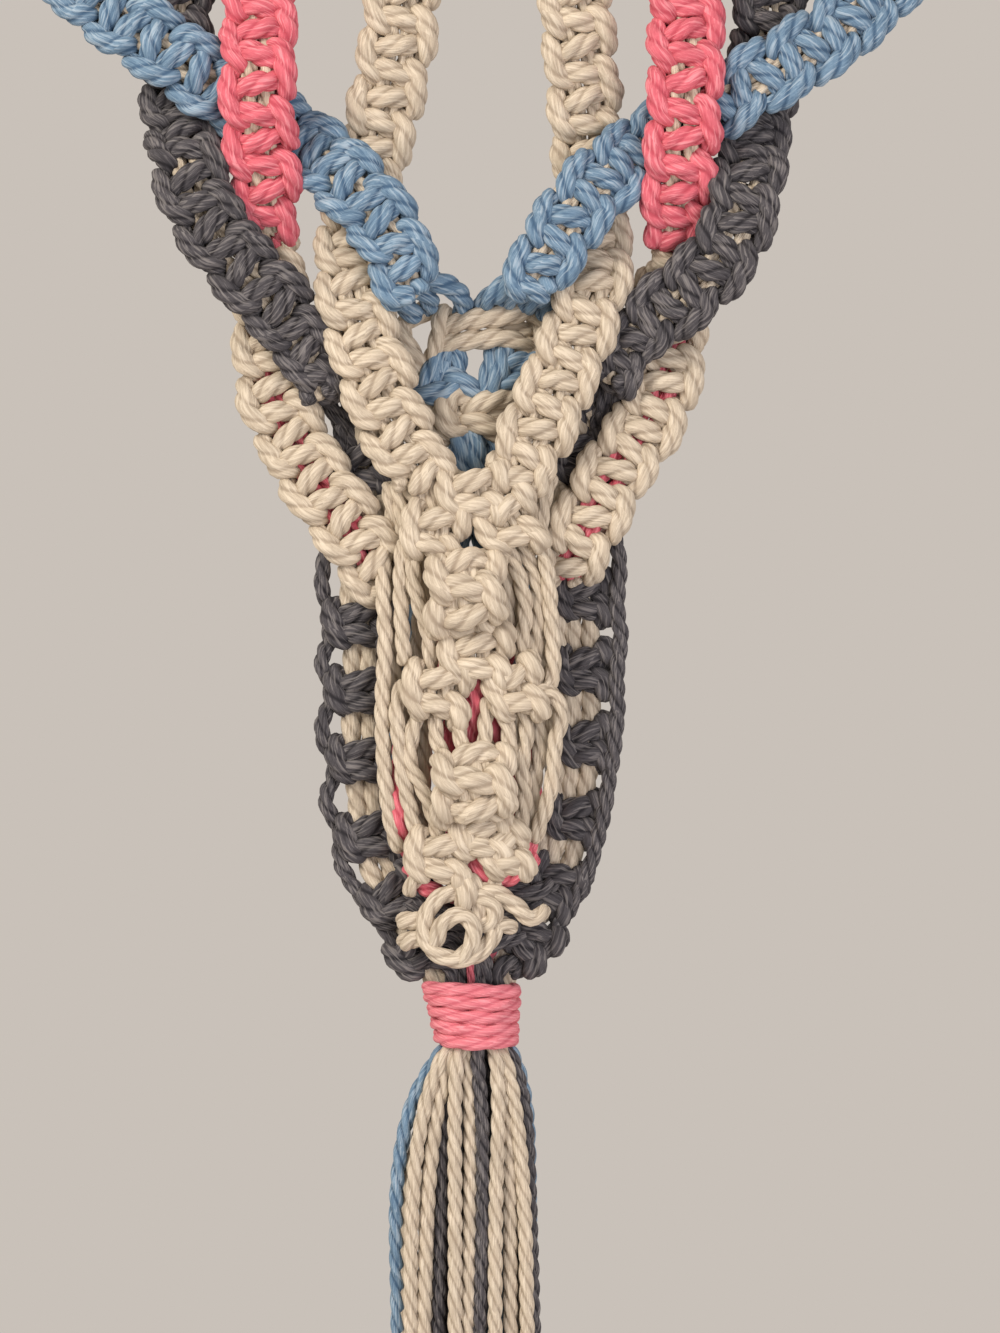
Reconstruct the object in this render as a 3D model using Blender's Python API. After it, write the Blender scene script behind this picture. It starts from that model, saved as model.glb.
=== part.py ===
"""A macrame wall hanging of thick cotton cord, in metres, +Z up, its front facing -Y.

The origin is the middle of the top edge, where the ends of the eight hanging sennits are held.
The tables below are in millimetres, in the hanging's own terms: across (to the right, seen from
the front), down (below the top edge) and front (towards the viewer).
"""

import math

import bmesh
import bpy
import numpy as np
from mathutils import Matrix, Vector

MM = 0.001
CORD = 5.0  # thickness of the cotton cord
GAP = 0.3  # clearance between two touching solids
KNOT_PITCH = 3.1 * CORD  # length of one whole square knot along a sennit
HALF_WIDTH = 2.0 * CORD  # middle of a sennit to its side, between its bumps
SIDE_BUMP = 0.28 * CORD  # how far a side bump stands past that
FRONT_DEPTH = 0.9 * CORD  # filler cords' centre to the face of the knots
FRONT_RIDGE = 0.2 * CORD  # ridge of a crossing cord on that face
FLAT_BACK = 0.92  # the back of a sennit is this much of its front
SHOULDER = (0.62, 0.94)  # a knot's section: how far out, and how high, its flat face ends
SECTION = [  # the six corners of that section, as shares of its half width and half depth
    (1, 0), SHOULDER, (-SHOULDER[0], SHOULDER[1]),
    (-1, 0), (-SHOULDER[0], -SHOULDER[1]), (SHOULDER[0], -SHOULDER[1]),
]
ROUND = [(math.cos(math.radians(36 * i)), math.sin(math.radians(36 * i))) for i in range(10)]
END_ROUND = 0.6  # length over which a sennit's end is rounded off
END_SIZE = 0.82  # its end face is this much of its section
END_MARGIN = 0.4 * CORD  # no ring of a knot lies closer than this to an end
CROSSING_GAP = 0.7  # clearance kept where one sennit lies over another
CROSSING_SAMPLES = 13  # points across a sennit at which a crossing is measured
SETTLE_STEPS = 250  # rounds of easing the crossing sennits apart
SMOOTHED_STEPS = 240  # the first of them, in which the easing is also smoothed
SMOOTH_KEEP = 0.4  # share a point keeps of its own easing; its neighbours give the rest
STRAND_SIDES = 5
STRAND_RINGS = 1.8 * CORD  # spacing of the rings along a loose strand
BAR_SIDES = 6  # sides of a rung and of the ring knot
LUMP_FOOT = 1.85  # how soon a knot's lump closes at its top and foot: at 2 it comes to a point
LUMP_FULL = 0.4  # how square-shouldered it is: lower is fuller
LUMP_GROOVE = 0.86  # thickness in the grooves between its ridges
STEP = 2.0  # spacing of the points that a smooth route is read at

BLUE = "#7BA7D0"
GREY = "#5A5A60"
PINK = "#F0788A"
CREAM = "#D9C9AE"

# One row for each bend of a sennit: across, down, front, breadth (1 is its full width).
ROUTES = {
    "blue_left": [
        (-130.5, 0, 0, 1), (-129, 18, 0, 1), (-121, 36, 0, 1), (-108, 48, 1, 1),
        (-96, 57.5, 3, 1), (-84, 66, 2.5, 1), (-74, 73, -1, 1), (-62.5, 80, -4, 1),
        (-51, 87, -3, 1), (-41.7, 95.4, 1, 1), (-34.5, 103, 3.5, 1), (-27.6, 111, 3, 1),
        (-22.2, 119.4, 1.5, 0.95), (-19.5, 127.8, -3, 0.85), (-18.5, 136, -8, 0.7),
        (-17, 142, -12, 0.6),
    ],
    "blue_right": [
        (135, 0, 0, 1), (133.5, 21, 0, 1), (127.5, 36, 0, 1), (118.5, 46.5, 0, 1),
        (109.5, 55.5, 1.5, 1), (99, 62.5, 3, 1), (88.5, 69, 3, 1), (78, 74.5, -1, 1),
        (64, 82, -4, 1), (51, 90, -2.5, 1), (40, 99.6, 2, 1), (32.4, 108, 3, 1),
        (28, 115.5, 2, 1), (23.7, 122.4, 0, 0.95), (20, 129, -4, 0.8), (18, 137, -9, 0.7),
        (17, 142, -12, 0.6),
    ],
    "grey_left": [
        (-88.5, 0, -4, 1), (-88.5, 45, -6.5, 1), (-89.4, 62.5, -7.8, 1), (-88.5, 74, -6, 1),
        (-86.5, 84, -3, 1), (-84.5, 94.5, -1, 1), (-81, 106.5, 1, 1), (-75, 117, 2.4, 1),
        (-66.5, 127.5, 3, 1), (-58.5, 136, 1.5, 1), (-53.4, 143.4, -1.5, 0.9),
        (-49.5, 150, -4, 0.75), (-46.5, 156.6, -7, 0.6), (-43.5, 164.4, -10, 0.55),
        (-40, 171, -12, 0.5),
    ],
    "grey_right": [
        (90.6, 0, -4, 1), (90.6, 45, -6.5, 1), (88.5, 68, -7.8, 1), (86.5, 78, -6, 1),
        (84, 93, -2, 1), (81.6, 105, 0.5, 1), (79, 115.5, 2.2, 1), (72.6, 126, 3, 1),
        (64.5, 134, 2, 1), (54.5, 141, -1.5, 0.9), (49.2, 147, -4.5, 0.7),
        (45.6, 153, -7, 0.6), (42.6, 160.5, -10, 0.55), (39.5, 167, -12, 0.5),
    ],
    "outer_left": [
        (-62.5, 0, 1, 1), (-62.5, 45, 3, 1), (-62.6, 68, 5.5, 1), (-62.7, 80, 7, 1),
        (-62, 92, 4.5, 1), (-61, 104, -1.5, 1), (-60, 116, -6, 0.9), (-60, 127, -8, 1),
        (-61.3, 138, -8, 1), (-60.6, 150, -6.5, 1), (-59, 164, -4.5, 1), (-54, 175.5, -3.5, 1),
        (-47, 188, -3, 1), (-40.5, 197.5, -3, 1), (-33, 207, -3.5, 1), (-27, 217.5, -6, 0.9),
        (-24, 225, -11, 0.7),
    ],
    "outer_right": [
        (64.5, 0, 1, 1), (64.5, 45, 3, 1), (64, 63, 5.5, 1), (63.3, 81, 7, 1),
        (62.7, 96, 4.5, 1), (61.8, 111, -2, 0.95), (60.5, 122, -6.5, 0.9), (59.5, 132, -8, 1),
        (60, 141, -8, 1), (60.6, 150, -6.5, 1), (58.5, 159.6, -4.5, 1), (54, 170.4, -3.5, 1),
        (46, 182, -3, 1), (40.2, 192.3, -3, 1), (36, 201, -3.5, 1), (32, 209.5, -5, 0.95),
        (28.8, 219, -10, 0.7),
    ],
    "inner_left": [
        (-20.4, 0, -2, 1), (-20.4, 45, -4, 1), (-23, 64.5, -5.5, 1), (-25.5, 75, -6.5, 1),
        (-29, 88, -7.5, 1), (-32, 99, -7.8, 1), (-34.5, 108, -7, 1), (-35.5, 117, -5.5, 1),
        (-35.6, 126, -2, 1), (-34.8, 135, 2.5, 1), (-32, 147, 5.5, 1), (-28, 159, 5.5, 1),
        (-23.7, 171, 5, 1), (-17.5, 182, 4.5, 0.95), (-13.5, 188.4, 4, 0.85),
        (-10, 196, 3.5, 0.8),
    ],
    "inner_right": [
        (31.8, 0, -2, 1), (31.8, 45, -4, 1), (33.5, 62, -5.5, 1), (35, 78, -7, 1),
        (36, 90, -7.8, 1), (37.2, 105, -7.2, 1), (37.5, 119, -5, 1), (37.2, 129, 0, 1),
        (35.2, 137, 3.5, 1), (32.4, 145.5, 5.3, 1), (29, 154, 5.5, 1), (24.2, 165, 5, 1),
        (19.2, 177, 4.5, 1), (14.5, 186, 4, 0.88), (11.5, 195, 3.5, 0.8),
    ],
}

# Which sennit lies over which, and between what depths below the top edge.
LAYERS = [
    ("outer_left", "blue_left", 50, 112),
    ("outer_right", "blue_right", 50, 112),
    ("blue_left", "grey_left", 35, 100),
    ("blue_right", "grey_right", 35, 105),
    ("blue_left", "inner_left", 80, 146),
    ("blue_right", "inner_right", 80, 146),
    ("grey_left", "outer_left", 85, 178),
    ("grey_right", "outer_right", 104, 172),
    ("inner_left", "grey_left", 118, 178),
    ("inner_right", "grey_right", 118, 172),
]

# One row for each sennit solid: name, route, the depth below the top edge where it starts and
# stops, and its colour. A route's last stretch belongs to the panel or the net it runs into.
SENNITS = [
    ("sennit_blue_left", "blue_left", 0, 135, BLUE),
    ("sennit_blue_right", "blue_right", 0, 135, BLUE),
    ("sennit_grey_left", "grey_left", 0, 164, GREY),
    ("sennit_grey_right", "grey_right", 0, 160, GREY),
    ("sennit_pink_left", "outer_left", 0, 116.5, PINK),
    ("sennit_pink_right", "outer_right", 0, 121.5, PINK),
    ("sennit_outer_left", "outer_left", 116.5, 219, CREAM),
    ("sennit_outer_right", "outer_right", 121.5, 213, CREAM),
    ("sennit_inner_left", "inner_left", 0, 184, CREAM),
    ("sennit_inner_right", "inner_right", 0, 183, CREAM),
]

# Knots of the front panel: across, down, front, width, height, depth, lean in degrees.
PANEL_KNOTS = [
    (1.2, 192.5, 4, 22, 14, 11, 0),
    (-12, 203, 4, 19, 20, 11, -8),
    (12.6, 203.5, 4, 19, 19, 11, 8),
    (1.5, 243, 4, 21, 15, 11, 0),
    (-10.5, 251.5, 4, 20, 15.5, 10, 0),
    (16.5, 251.5, 4, 20, 15.5, 10, 0),
    (4, 296, 4, 16, 10, 10, 0),
    (-9.6, 300.5, 4, 21, 14, 10, -10),
    (12.6, 300.5, 4, 15, 14, 10, 10),
]
# Berry knots, which are a sennit rolled up and pulled back into itself: the same columns.
BERRIES = [
    (-1.5, 224, 9, 26, 28, 21, 0),
    (1.5, 281, 9, 27.5, 26, 21, 0),
]
RING_KNOT = (-4, 321.5, 7.4)  # the open berry at the foot of the panel: across, down, front
RING_SIZE = (8.6, 10.2)  # half width and half height of the ring's centre line
RING_THICK = 3.6
RING_PARTS = 14  # rings of points round it, by turns thick and thin
RING_RIDGE = 0.08  # how much of its thickness that is

# Loose strands of the front panel, each a short run of points: across, down, front.
PANEL_STRANDS = [
    [(-20, 200, 4), (-22.5, 213, 5), (-21, 228, 5), (-18, 246, 4)],
    [(-15, 208, 4), (-15.5, 225, 5), (-13, 246, 4)],
    [(-21.5, 206, 2), (-27, 224, 3), (-27, 240, 3), (-25.5, 261, 3), (-23.4, 282, 3),
     (-16, 300, 4)],
    [(-17, 256, 4), (-21, 273, 4), (-14, 298, 4)],
    [(-14, 257, 4), (-14.4, 273, 5), (-8, 297, 4)],
    [(-6, 256, 4), (-2, 272, 6)],
    [(12, 208, 4), (17.4, 225, 5), (15, 246, 4)],
    [(19, 204, 3), (26, 225, 4), (23.5, 249, 4)],
    [(22, 251, 4), (28, 263, 3), (27, 278, 3), (16, 299, 4)],
    [(17, 257, 4), (16, 276, 5), (14, 298, 4)],
    [(8, 256, 4), (6.5, 272, 6)],
    [(-9, 304, 4), (-9, 314, 5)],
    [(8, 302, 4), (3, 313, 5)],
    [(-12, 321, 4), (-19, 323, 2), (-20.5, 318, 1)],
    [(4, 316, 5), (12, 313, 3), (20, 317, 1)],
]

# Knots of the back net, with the panel's columns.
NET_KNOTS = [
    (-6, 156.5, -14, 19, 15, 9, 0),
    (11.4, 155.5, -14, 16, 15, 9, 0),
    (1, 169, -14, 22, 15, 9, 0),
    (-0.6, 181, -14, 15, 14, 9, 0),
    (-31, 187, -15, 16, 16, 8, 0),
    (33, 183, -15, 15, 16, 8, 0),
    (-36, 231.5, -14, 19, 14, 9, 0),
    (-36, 252.5, -14, 18, 14, 9, 0),
    (-34.5, 274, -14, 18, 14, 9, 0),
    (-32, 296.5, -14, 18, 14, 9, 0),
    (-25, 317, -12, 15, 13, 9, 30),
    (35.4, 224.5, -14, 19, 14, 9, 0),
    (34.8, 246, -14, 18, 14, 9, 0),
    (36, 268, -14, 18, 14, 9, 0),
    (32.4, 291, -14, 18, 14, 9, 0),
    (26.5, 312, -12, 16, 14, 9, -30),
    (-17, 330, -9, 21, 14, 9, 25),
    (17.5, 328, -9, 21, 14, 9, -25),
]
# Cream rungs of the net, tied across it behind the panel: left and right ends (across, down).
RUNGS = [
    ((-37, 243), (39, 236)),
    ((-37.5, 264), (39, 257)),
    ((-36, 285.5), (38, 280)),
    ((-31, 307), (33, 302)),
]
RUNG_FRONT = -14
RUNG_HALF_HEIGHT = 5.2
RUNG_HALF_DEPTH = 3.4
RUNG_STEPS = 10
RUNG_GROOVE = 0.82  # thickness between its knots
RUNG_END = 0.8  # and at its two ends

# Strands of the back net: across, down, front. A name stands for the end of that sennit's route,
# whose cords run on as these strands.
NET_STRANDS = [
    ["blue_left", (-6, 143, -14), (6, 138.5, -14), "blue_right"],
    ["blue_left", (-5, 149, -14), (8, 145, -14), "blue_right"],
    ["blue_left", (-20, 152, -14), (-6, 157, -14)],
    ["blue_right", (19, 150, -14), (11, 156, -14)],
    ["blue_left", (-20, 152, -14), (-27, 163, -15), (-31, 186, -15)],
    ["blue_right", (20, 152, -14), (28, 163, -15), (33, 182, -15)],
    [(-6, 160, -14), (-15, 168, -15), (-31, 184, -15)],
    [(11, 160, -14), (18, 168, -15), (33, 181, -15)],
    ["grey_left", (-36, 178, -14), (-31, 187, -15)],
    ["grey_right", (37, 174, -14), (33, 183, -15)],
    [(-2, 184, -14), (-4, 205, -15), (-4, 243, -15), (-4, 286, -15), (-4, 331, -10)],
    [(1, 184, -14), (4, 205, -15), (4, 243, -15), (4, 286, -15), (4, 331, -10)],
    [(-31, 190, -15), (-22, 200, -16), (-4, 212, -15)],
    [(33, 187, -15), (22, 198, -16), (4, 212, -15)],
    [(-31, 190, -15), (-34, 203, -15), (-34, 217, -15), (-34, 231, -14)],
    [(33, 187, -15), (34, 200, -15), (33, 212, -15), (33, 224, -14)],
    ["outer_left", (-19, 230, -14), (-10, 233, -15), (-4, 238, -15)],
    ["outer_right", (20, 226, -14), (10, 232, -15), (4, 238, -15)],
    [(-34, 200, -15), (-42, 207, -14), (-45.5, 217, -14), (-43, 230, -14)],
    [(-43, 232, -14), (-46.5, 242, -14), (-43, 252, -14)],
    [(-43, 253, -14), (-47, 263.5, -14), (-42, 274, -14)],
    [(-41, 275, -14), (-46, 286, -14), (-39, 296, -14)],
    [(-39, 297, -14), (-40, 309, -13), (-33, 320, -12), (-18, 331, -9)],
    [(34, 198, -15), (43, 205, -14), (45.5, 213, -14), (42, 224, -14)],
    [(42, 225, -14), (46.5, 236, -14), (42, 246, -14)],
    [(42, 247, -14), (46.5, 257, -14), (43, 268, -14)],
    [(43, 269, -14), (43.5, 280, -14), (39, 291, -14)],
    [(39, 292, -14), (37, 303, -14), (32, 316, -12), (18, 329, -9)],
]

# Gathering wrap: five turns of pink cord, a little wider at its top.
WRAP_TOP = 340
WRAP_TURNS = 5
WRAP_PITCH = 3.85
WRAP_BOTTOM = WRAP_TOP + WRAP_TURNS * WRAP_PITCH
WRAP_ACROSS = (0.4, 1.9)  # its centre at the top and the bottom
WRAP_OUTER = (14.6, 11.8)  # half width at the top and the bottom, to the crest of a turn
WRAP_DEPTH = 12.4  # half depth, front to back
WRAP_WALL = 3.1  # from a turn's crest to the bore
WRAP_GROOVE = 1.1
WRAP_GAP = 0.33  # all round what is inside the bore, measured at its corners
WRAP_SIDES = 16
WRAP_FRONT = -5
HEAD_LAP = 1  # how far the tassel's head stands below the wrap
NECK_LAP = 0.5  # how far above the wrap its bore's oval is already reached

# The neck of the net, where all the cords come together above the wrap and run down into it:
# down, half width, half depth, across.
NECK = [
    (327, 11, 5, 0),
    (332, 15, 7.5, 0),
    (337, 15, 9, 0.3),
]
NECK_FOOT = 350  # inside the wrap, where the tassel's head takes over

# Tassel: a row for each ring of strands: how many, half width and half depth at the wrap, and
# half width and half depth where they hang free.
TASSEL_RINGS = [
    (16, 6.2, 6.8, 18.4, 13.6),
    (10, 4.0, 4.1, 11.6, 8.4),
    (4, 1.9, 1.6, 4.6, 3.6),
]
TASSEL_SPREAD = 400  # depth below the top edge where the strands hang straight
TASSEL_END = 478
TASSEL_ACROSS = -2.5  # its centre at the foot
TASSEL_STRAND = 2.35  # half thickness of one hanging strand
TASSEL_SIDES = 4
TASSEL_START = WRAP_BOTTOM - 2  # inside the head
TASSEL_FAN = WRAP_BOTTOM + 16  # depth at which it is half spread
TASSEL_FAN_ACROSS = 0.4  # its centre there
TASSEL_FULL = (0.45, 0.8, 1.0)  # share of a strand's thickness at these two depths and below
TASSEL_UNEVEN = 1.6  # step between the four lengths the strands are cut to


def linear(hex_colour):
    """Turn an sRGB hex colour into Blender's linear values."""
    channels = [int(hex_colour[i : i + 2], 16) / 255 for i in (1, 3, 5)]
    return [c / 12.92 if c <= 0.04045 else ((c + 0.055) / 1.055) ** 2.4 for c in channels]


def cotton(name, hex_colour):
    """Matt dyed cotton."""
    material = bpy.data.materials.new(name)
    material.use_nodes = True
    shader = material.node_tree.nodes["Principled BSDF"]
    shader.inputs["Base Color"].default_value = (*linear(hex_colour), 1)
    shader.inputs["Roughness"].default_value = 0.92
    shader.inputs["Metallic"].default_value = 0
    return material


def place(across, down, front):
    """A point of the hanging, from the front view's own measures to X, Y and Z in millimetres."""
    return Vector((across, -front, -down))


def smooth_curve(rows):
    """Read a smooth curve through the rows' points every STEP; the last value is the breadth."""
    ends = [rows[0], *rows, rows[-1]]
    dense = []
    for before, a, b, after in zip(ends, ends[1:], ends[2:], ends[3:]):
        p0, p1, p2, p3 = (Vector((*place(*row[:3]), *row[3:])) for row in (before, a, b, after))
        pieces = max(2, round((p2 - p1).to_3d().length / STEP))
        for i in range(pieces):
            t = i / pieces
            dense.append(
                0.5 * (2 * p1 + (p2 - p0) * t + (2 * p0 - 5 * p1 + 4 * p2 - p3) * t**2
                       + (3 * p1 - p0 - 3 * p2 + p3) * t**3)
            )
    dense.append(Vector((*place(*rows[-1][:3]), *rows[-1][3:])))
    return dense


def section_height(out):
    """How thick a sennit's half section is, as a share, this far out from its middle (0 to 1)."""
    out = np.clip(np.abs(out), 0, 1)
    edge_out, edge_height = SHOULDER
    flat = np.interp(out, [0, edge_out], [edge_height, edge_height])
    return np.where(out < edge_out, flat, edge_height * (1 - out) / (1 - edge_out))


def crossing_contacts(over, under, down_from, down_to):
    """Where one sennit covers another: pairs of route points and how far apart they must lie."""
    flat_under = under[:, [0, 2]]
    side = np.gradient(over[:, [0, 2]], axis=0)
    side = np.stack([-side[:, 1], side[:, 0]], axis=1)
    side /= np.linalg.norm(side, axis=1, keepdims=True)
    thick = FRONT_DEPTH + FRONT_RIDGE
    contacts = []
    for i in np.flatnonzero((-over[:, 2] >= down_from) & (-over[:, 2] <= down_to)):
        for out in np.linspace(-1, 1, CROSSING_SAMPLES):
            spot = over[i, [0, 2]] + side[i] * out * (HALF_WIDTH + SIDE_BUMP) * over[i, 3]
            away = np.linalg.norm(flat_under - spot, axis=1)
            j = int(np.argmin(away))
            reach = (HALF_WIDTH + SIDE_BUMP) * under[j, 3]
            if away[j] < reach:
                need = thick * FLAT_BACK * section_height(out) * (0.5 + 0.5 * over[i, 3])
                need += thick * section_height(away[j] / reach) * (0.5 + 0.5 * under[j, 3])
                contacts.append((i, j, float(need) + CROSSING_GAP))
    return contacts


def settle_routes():
    """Ease the routes apart, front to back, until no sennit presses into the one it crosses."""
    routes = {name: np.array([tuple(p) for p in smooth_curve(rows)])
              for name, rows in ROUTES.items()}
    layers = [(a, b, crossing_contacts(routes[a], routes[b], top, foot))
              for a, b, top, foot in LAYERS]
    shift = {name: np.zeros(len(points)) for name, points in routes.items()}
    for step in range(SETTLE_STEPS):
        for over, under, contacts in layers:
            for i, j, need in contacts:
                apart = routes[under][j, 1] - shift[under][j]
                apart -= routes[over][i, 1] - shift[over][i]
                if apart < need:
                    shift[over][i] += (need - apart) / 2
                    shift[under][j] -= (need - apart) / 2
        if step > SMOOTHED_STEPS:
            continue
        for name, values in shift.items():
            padded = np.concatenate([values[:1], values, values[-1:]])
            beside = (padded[:-2] + padded[2:]) / 2
            shift[name] = SMOOTH_KEEP * values + (1 - SMOOTH_KEEP) * beside
    for name, values in shift.items():
        routes[name][:, 1] -= values
    return {name: [Vector(row) for row in points] for name, points in routes.items()}


def lengths_along(points):
    """How far along the route each of its points lies."""
    along = [0.0]
    for a, b in zip(points, points[1:]):
        along.append(along[-1] + (b - a).to_3d().length)
    return along


def at_length(points, along, wanted):
    """The point, the direction and the breadth at one length along a route."""
    wanted = min(max(wanted, 0.0), along[-1])
    i = next((k for k in range(1, len(along)) if along[k] >= wanted), len(along) - 1)
    share = (wanted - along[i - 1]) / (along[i] - along[i - 1])
    point = points[i - 1].lerp(points[i], share)
    first, last = max(i - 3, 0), min(i + 2, len(points) - 1)
    direction = (points[last] - points[first]).to_3d().normalized()
    breadth = point[3] if len(point) > 3 else 1.0
    return point.to_3d(), direction, breadth


def length_at_depth(points, along, down):
    """The length along a route at which it first comes to this depth below the top edge."""
    return next((s for p, s in zip(points, along) if -p.z >= down), along[-1])


def sideways_and_front(direction):
    """The two directions across a cord or a sennit: its right, and the one that faces front."""
    front = Vector((0, -1, 0))
    front = (front - front.dot(direction) * direction).normalized()
    return front.cross(direction), front


def skin(bm, rings):
    """Join rings of points, each the same number, into one closed body with flat ends."""
    loops = [[bm.verts.new(point) for point in ring] for ring in rings]
    for upper, lower in zip(loops, loops[1:]):
        for i in range(len(upper)):
            j = (i + 1) % len(upper)
            bm.faces.new((upper[i], upper[j], lower[j], lower[i]))
    bm.faces.new(list(reversed(loops[0])))
    bm.faces.new(loops[-1])


def finish_mesh(bm, name):
    """Point the faces outwards, triangulate them and give back the mesh in metres."""
    bmesh.ops.recalc_face_normals(bm, faces=bm.faces)
    bmesh.ops.triangulate(bm, faces=bm.faces)
    bmesh.ops.scale(bm, vec=(MM, MM, MM), verts=bm.verts)
    mesh = bpy.data.meshes.new(name)
    bm.to_mesh(mesh)
    bm.free()
    return mesh


def add_object(name, mesh, material):
    """Put a finished mesh in the scene as one named piece."""
    piece = bpy.data.objects.new(name, mesh)
    bpy.context.scene.collection.objects.link(piece)
    mesh.materials.append(material)
    mesh.shade_smooth()
    mesh.set_sharp_from_angle(angle=math.radians(50))
    return piece


SETTLED = settle_routes()


def sennit_ring(centre, direction, breadth, phase, inset):
    """One six-sided ring round a sennit; the phase is its place in a square knot's length."""
    right, front = sideways_and_front(direction)
    wave = math.cos(2 * math.pi * phase)
    ridge = -math.cos(4 * math.pi * phase)
    to_right = (HALF_WIDTH + SIDE_BUMP * wave) * breadth * inset
    to_left = (HALF_WIDTH - SIDE_BUMP * wave) * breadth * inset
    depth = (FRONT_DEPTH + FRONT_RIDGE * ridge) * (0.5 + 0.5 * breadth) * inset
    ring = []
    for across, up in SECTION:
        side = to_right if across > 0 else to_left
        face = depth if up > 0 else depth * FLAT_BACK
        ring.append(centre + right * side * across + front * face * up)
    return ring


def sennit_rings(route, start, stop, clearance):
    """Rings from one length along a route to another, four to each knot, with rounded ends.

    The clearance is left at the start, square to the route, as from a solid that stops there.
    """
    points = SETTLED[route]
    along = lengths_along(points)
    quarter = KNOT_PITCH / 4
    first = math.ceil((start + END_MARGIN) / quarter)
    last = math.floor((stop - END_MARGIN) / quarter)
    places = [(start, clearance, END_SIZE), (start, clearance + END_ROUND, 1.0)]
    places += [(k * quarter, 0, 1.0) for k in range(first, last + 1)]
    places += [(stop, -END_ROUND, 1.0), (stop, 0, END_SIZE)]
    rings = []
    for length, further, inset in places:
        centre, direction, breadth = at_length(points, along, length)
        phase = (length + further) / KNOT_PITCH
        rings.append(sennit_ring(centre + direction * further, direction, breadth, phase, inset))
    return rings


def cut_length(route, down):
    """The length along a settled route at which it first comes to this depth."""
    points = SETTLED[route]
    return length_at_depth(points, lengths_along(points), down) if down > 0 else 0.0


def add_sennit(name, route, down_from, down_to, material):
    """One sennit: a chain of square knots, as a bar whose sides and face are raised in ridges."""
    bm = bmesh.new()
    clearance = GAP if down_from > 0 else 0
    skin(bm, sennit_rings(route, cut_length(route, down_from), cut_length(route, down_to), clearance))
    add_object(name, finish_mesh(bm, name), material)


def stub(route):
    """The last stretch of a route, which is fused into the panel or the net."""
    start = max(cut_length(route, row[3]) for row in SENNITS if row[1] == route)
    end = lengths_along(SETTLED[route])[-1]
    bm = bmesh.new()
    skin(bm, sennit_rings(route, start, end, GAP))
    return bm


def route_end(route):
    """Just inside the end of a settled route, as a row of the hanging's own measures."""
    x, y, z = SETTLED[route][-2].to_3d()
    return x, -z, -y


def strand(points, half=CORD * 0.5, sides=STRAND_SIDES):
    """A loose strand: a plain tube along a smooth curve through its points."""
    points = [route_end(point) if isinstance(point, str) else point for point in points]
    dense = smooth_curve([(*point, 1) for point in points])
    along = lengths_along(dense)
    count = max(2, round(along[-1] / STRAND_RINGS))
    bm = bmesh.new()
    rings = []
    for k in range(count + 1):
        centre, direction, _ = at_length(dense, along, along[-1] * k / count)
        helper = Vector((0, -1, 0)) if abs(direction.y) < 0.9 else Vector((1, 0, 0))
        right = direction.cross(helper).normalized()
        up = right.cross(direction)
        rings.append([
            centre + half * (right * math.cos(2 * math.pi * i / sides)
                             + up * math.sin(2 * math.pi * i / sides))
            for i in range(sides)
        ])
    skin(bm, rings)
    return bm


def lump(across, down, front, width, height, depth, lean, ridges, section):
    """A knot as one lump whose cross cords stand up as ridges from top to bottom."""
    steps = 2 * ridges
    bm = bmesh.new()
    rings = []
    for k in range(steps + 1):
        drop = -0.5 + k / steps
        swell = (1 - (LUMP_FOOT * drop) ** 2) ** LUMP_FULL
        crest = 1.0 if k % 2 else LUMP_GROOVE
        rings.append([
            Vector((
                width / 2 * swell * (1 + crest) / 2 * out,
                -depth / 2 * swell * crest * up,
                -height * drop,
            ))
            for out, up in section
        ])
    skin(bm, rings)
    turn = Matrix.Rotation(math.radians(-lean), 3, "Y")
    bmesh.ops.transform(bm, matrix=turn.to_4x4(), verts=bm.verts)
    bmesh.ops.translate(bm, vec=place(across, down, front), verts=bm.verts)
    return bm


def rung(left, right):
    """A cream rung of the net: a row of knots tied side by side, as one lumpy bar."""
    start, end = place(*left, RUNG_FRONT), place(*right, RUNG_FRONT)
    bm = bmesh.new()
    rings = []
    for k in range(RUNG_STEPS + 1):
        centre = start.lerp(end, k / RUNG_STEPS)
        swell = (1.0 if k % 2 else RUNG_GROOVE) * (RUNG_END if k in (0, RUNG_STEPS) else 1.0)
        rings.append([
            centre + Vector((
                0,
                -RUNG_HALF_DEPTH * swell * math.sin(2 * math.pi * i / BAR_SIDES),
                RUNG_HALF_HEIGHT * swell * math.cos(2 * math.pi * i / BAR_SIDES),
            ))
            for i in range(BAR_SIDES)
        ])
    skin(bm, rings)
    return bm


def ring_knot():
    """The open berry at the foot of the panel: a lumpy ring."""
    across, down, front = RING_KNOT
    bm = bmesh.new()
    loops = []
    for k in range(RING_PARTS):
        turn = 2 * math.pi * k / RING_PARTS
        thick = RING_THICK * (1 + RING_RIDGE if k % 2 else 1 - RING_RIDGE)
        out = Vector((math.cos(turn), 0, math.sin(turn)))
        centre = place(across, down, front) + Vector((RING_SIZE[0] * out.x, 0, RING_SIZE[1] * out.z))
        loops.append([
            bm.verts.new(
                centre + out * thick * math.cos(2 * math.pi * i / BAR_SIDES)
                + Vector((0, -1, 0)) * thick * math.sin(2 * math.pi * i / BAR_SIDES)
            )
            for i in range(BAR_SIDES)
        ])
    for k in range(RING_PARTS):
        near, far = loops[k], loops[(k + 1) % RING_PARTS]
        for i in range(BAR_SIDES):
            j = (i + 1) % BAR_SIDES
            bm.faces.new((near[i], near[j], far[j], far[i]))
    return bm


def oval(across, front, down, half_width, half_depth, sides):
    """One level oval ring of points."""
    return [
        place(
            across + half_width * math.cos(2 * math.pi * i / sides),
            down,
            front + half_depth * math.sin(2 * math.pi * i / sides),
        )
        for i in range(sides)
    ]


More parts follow.
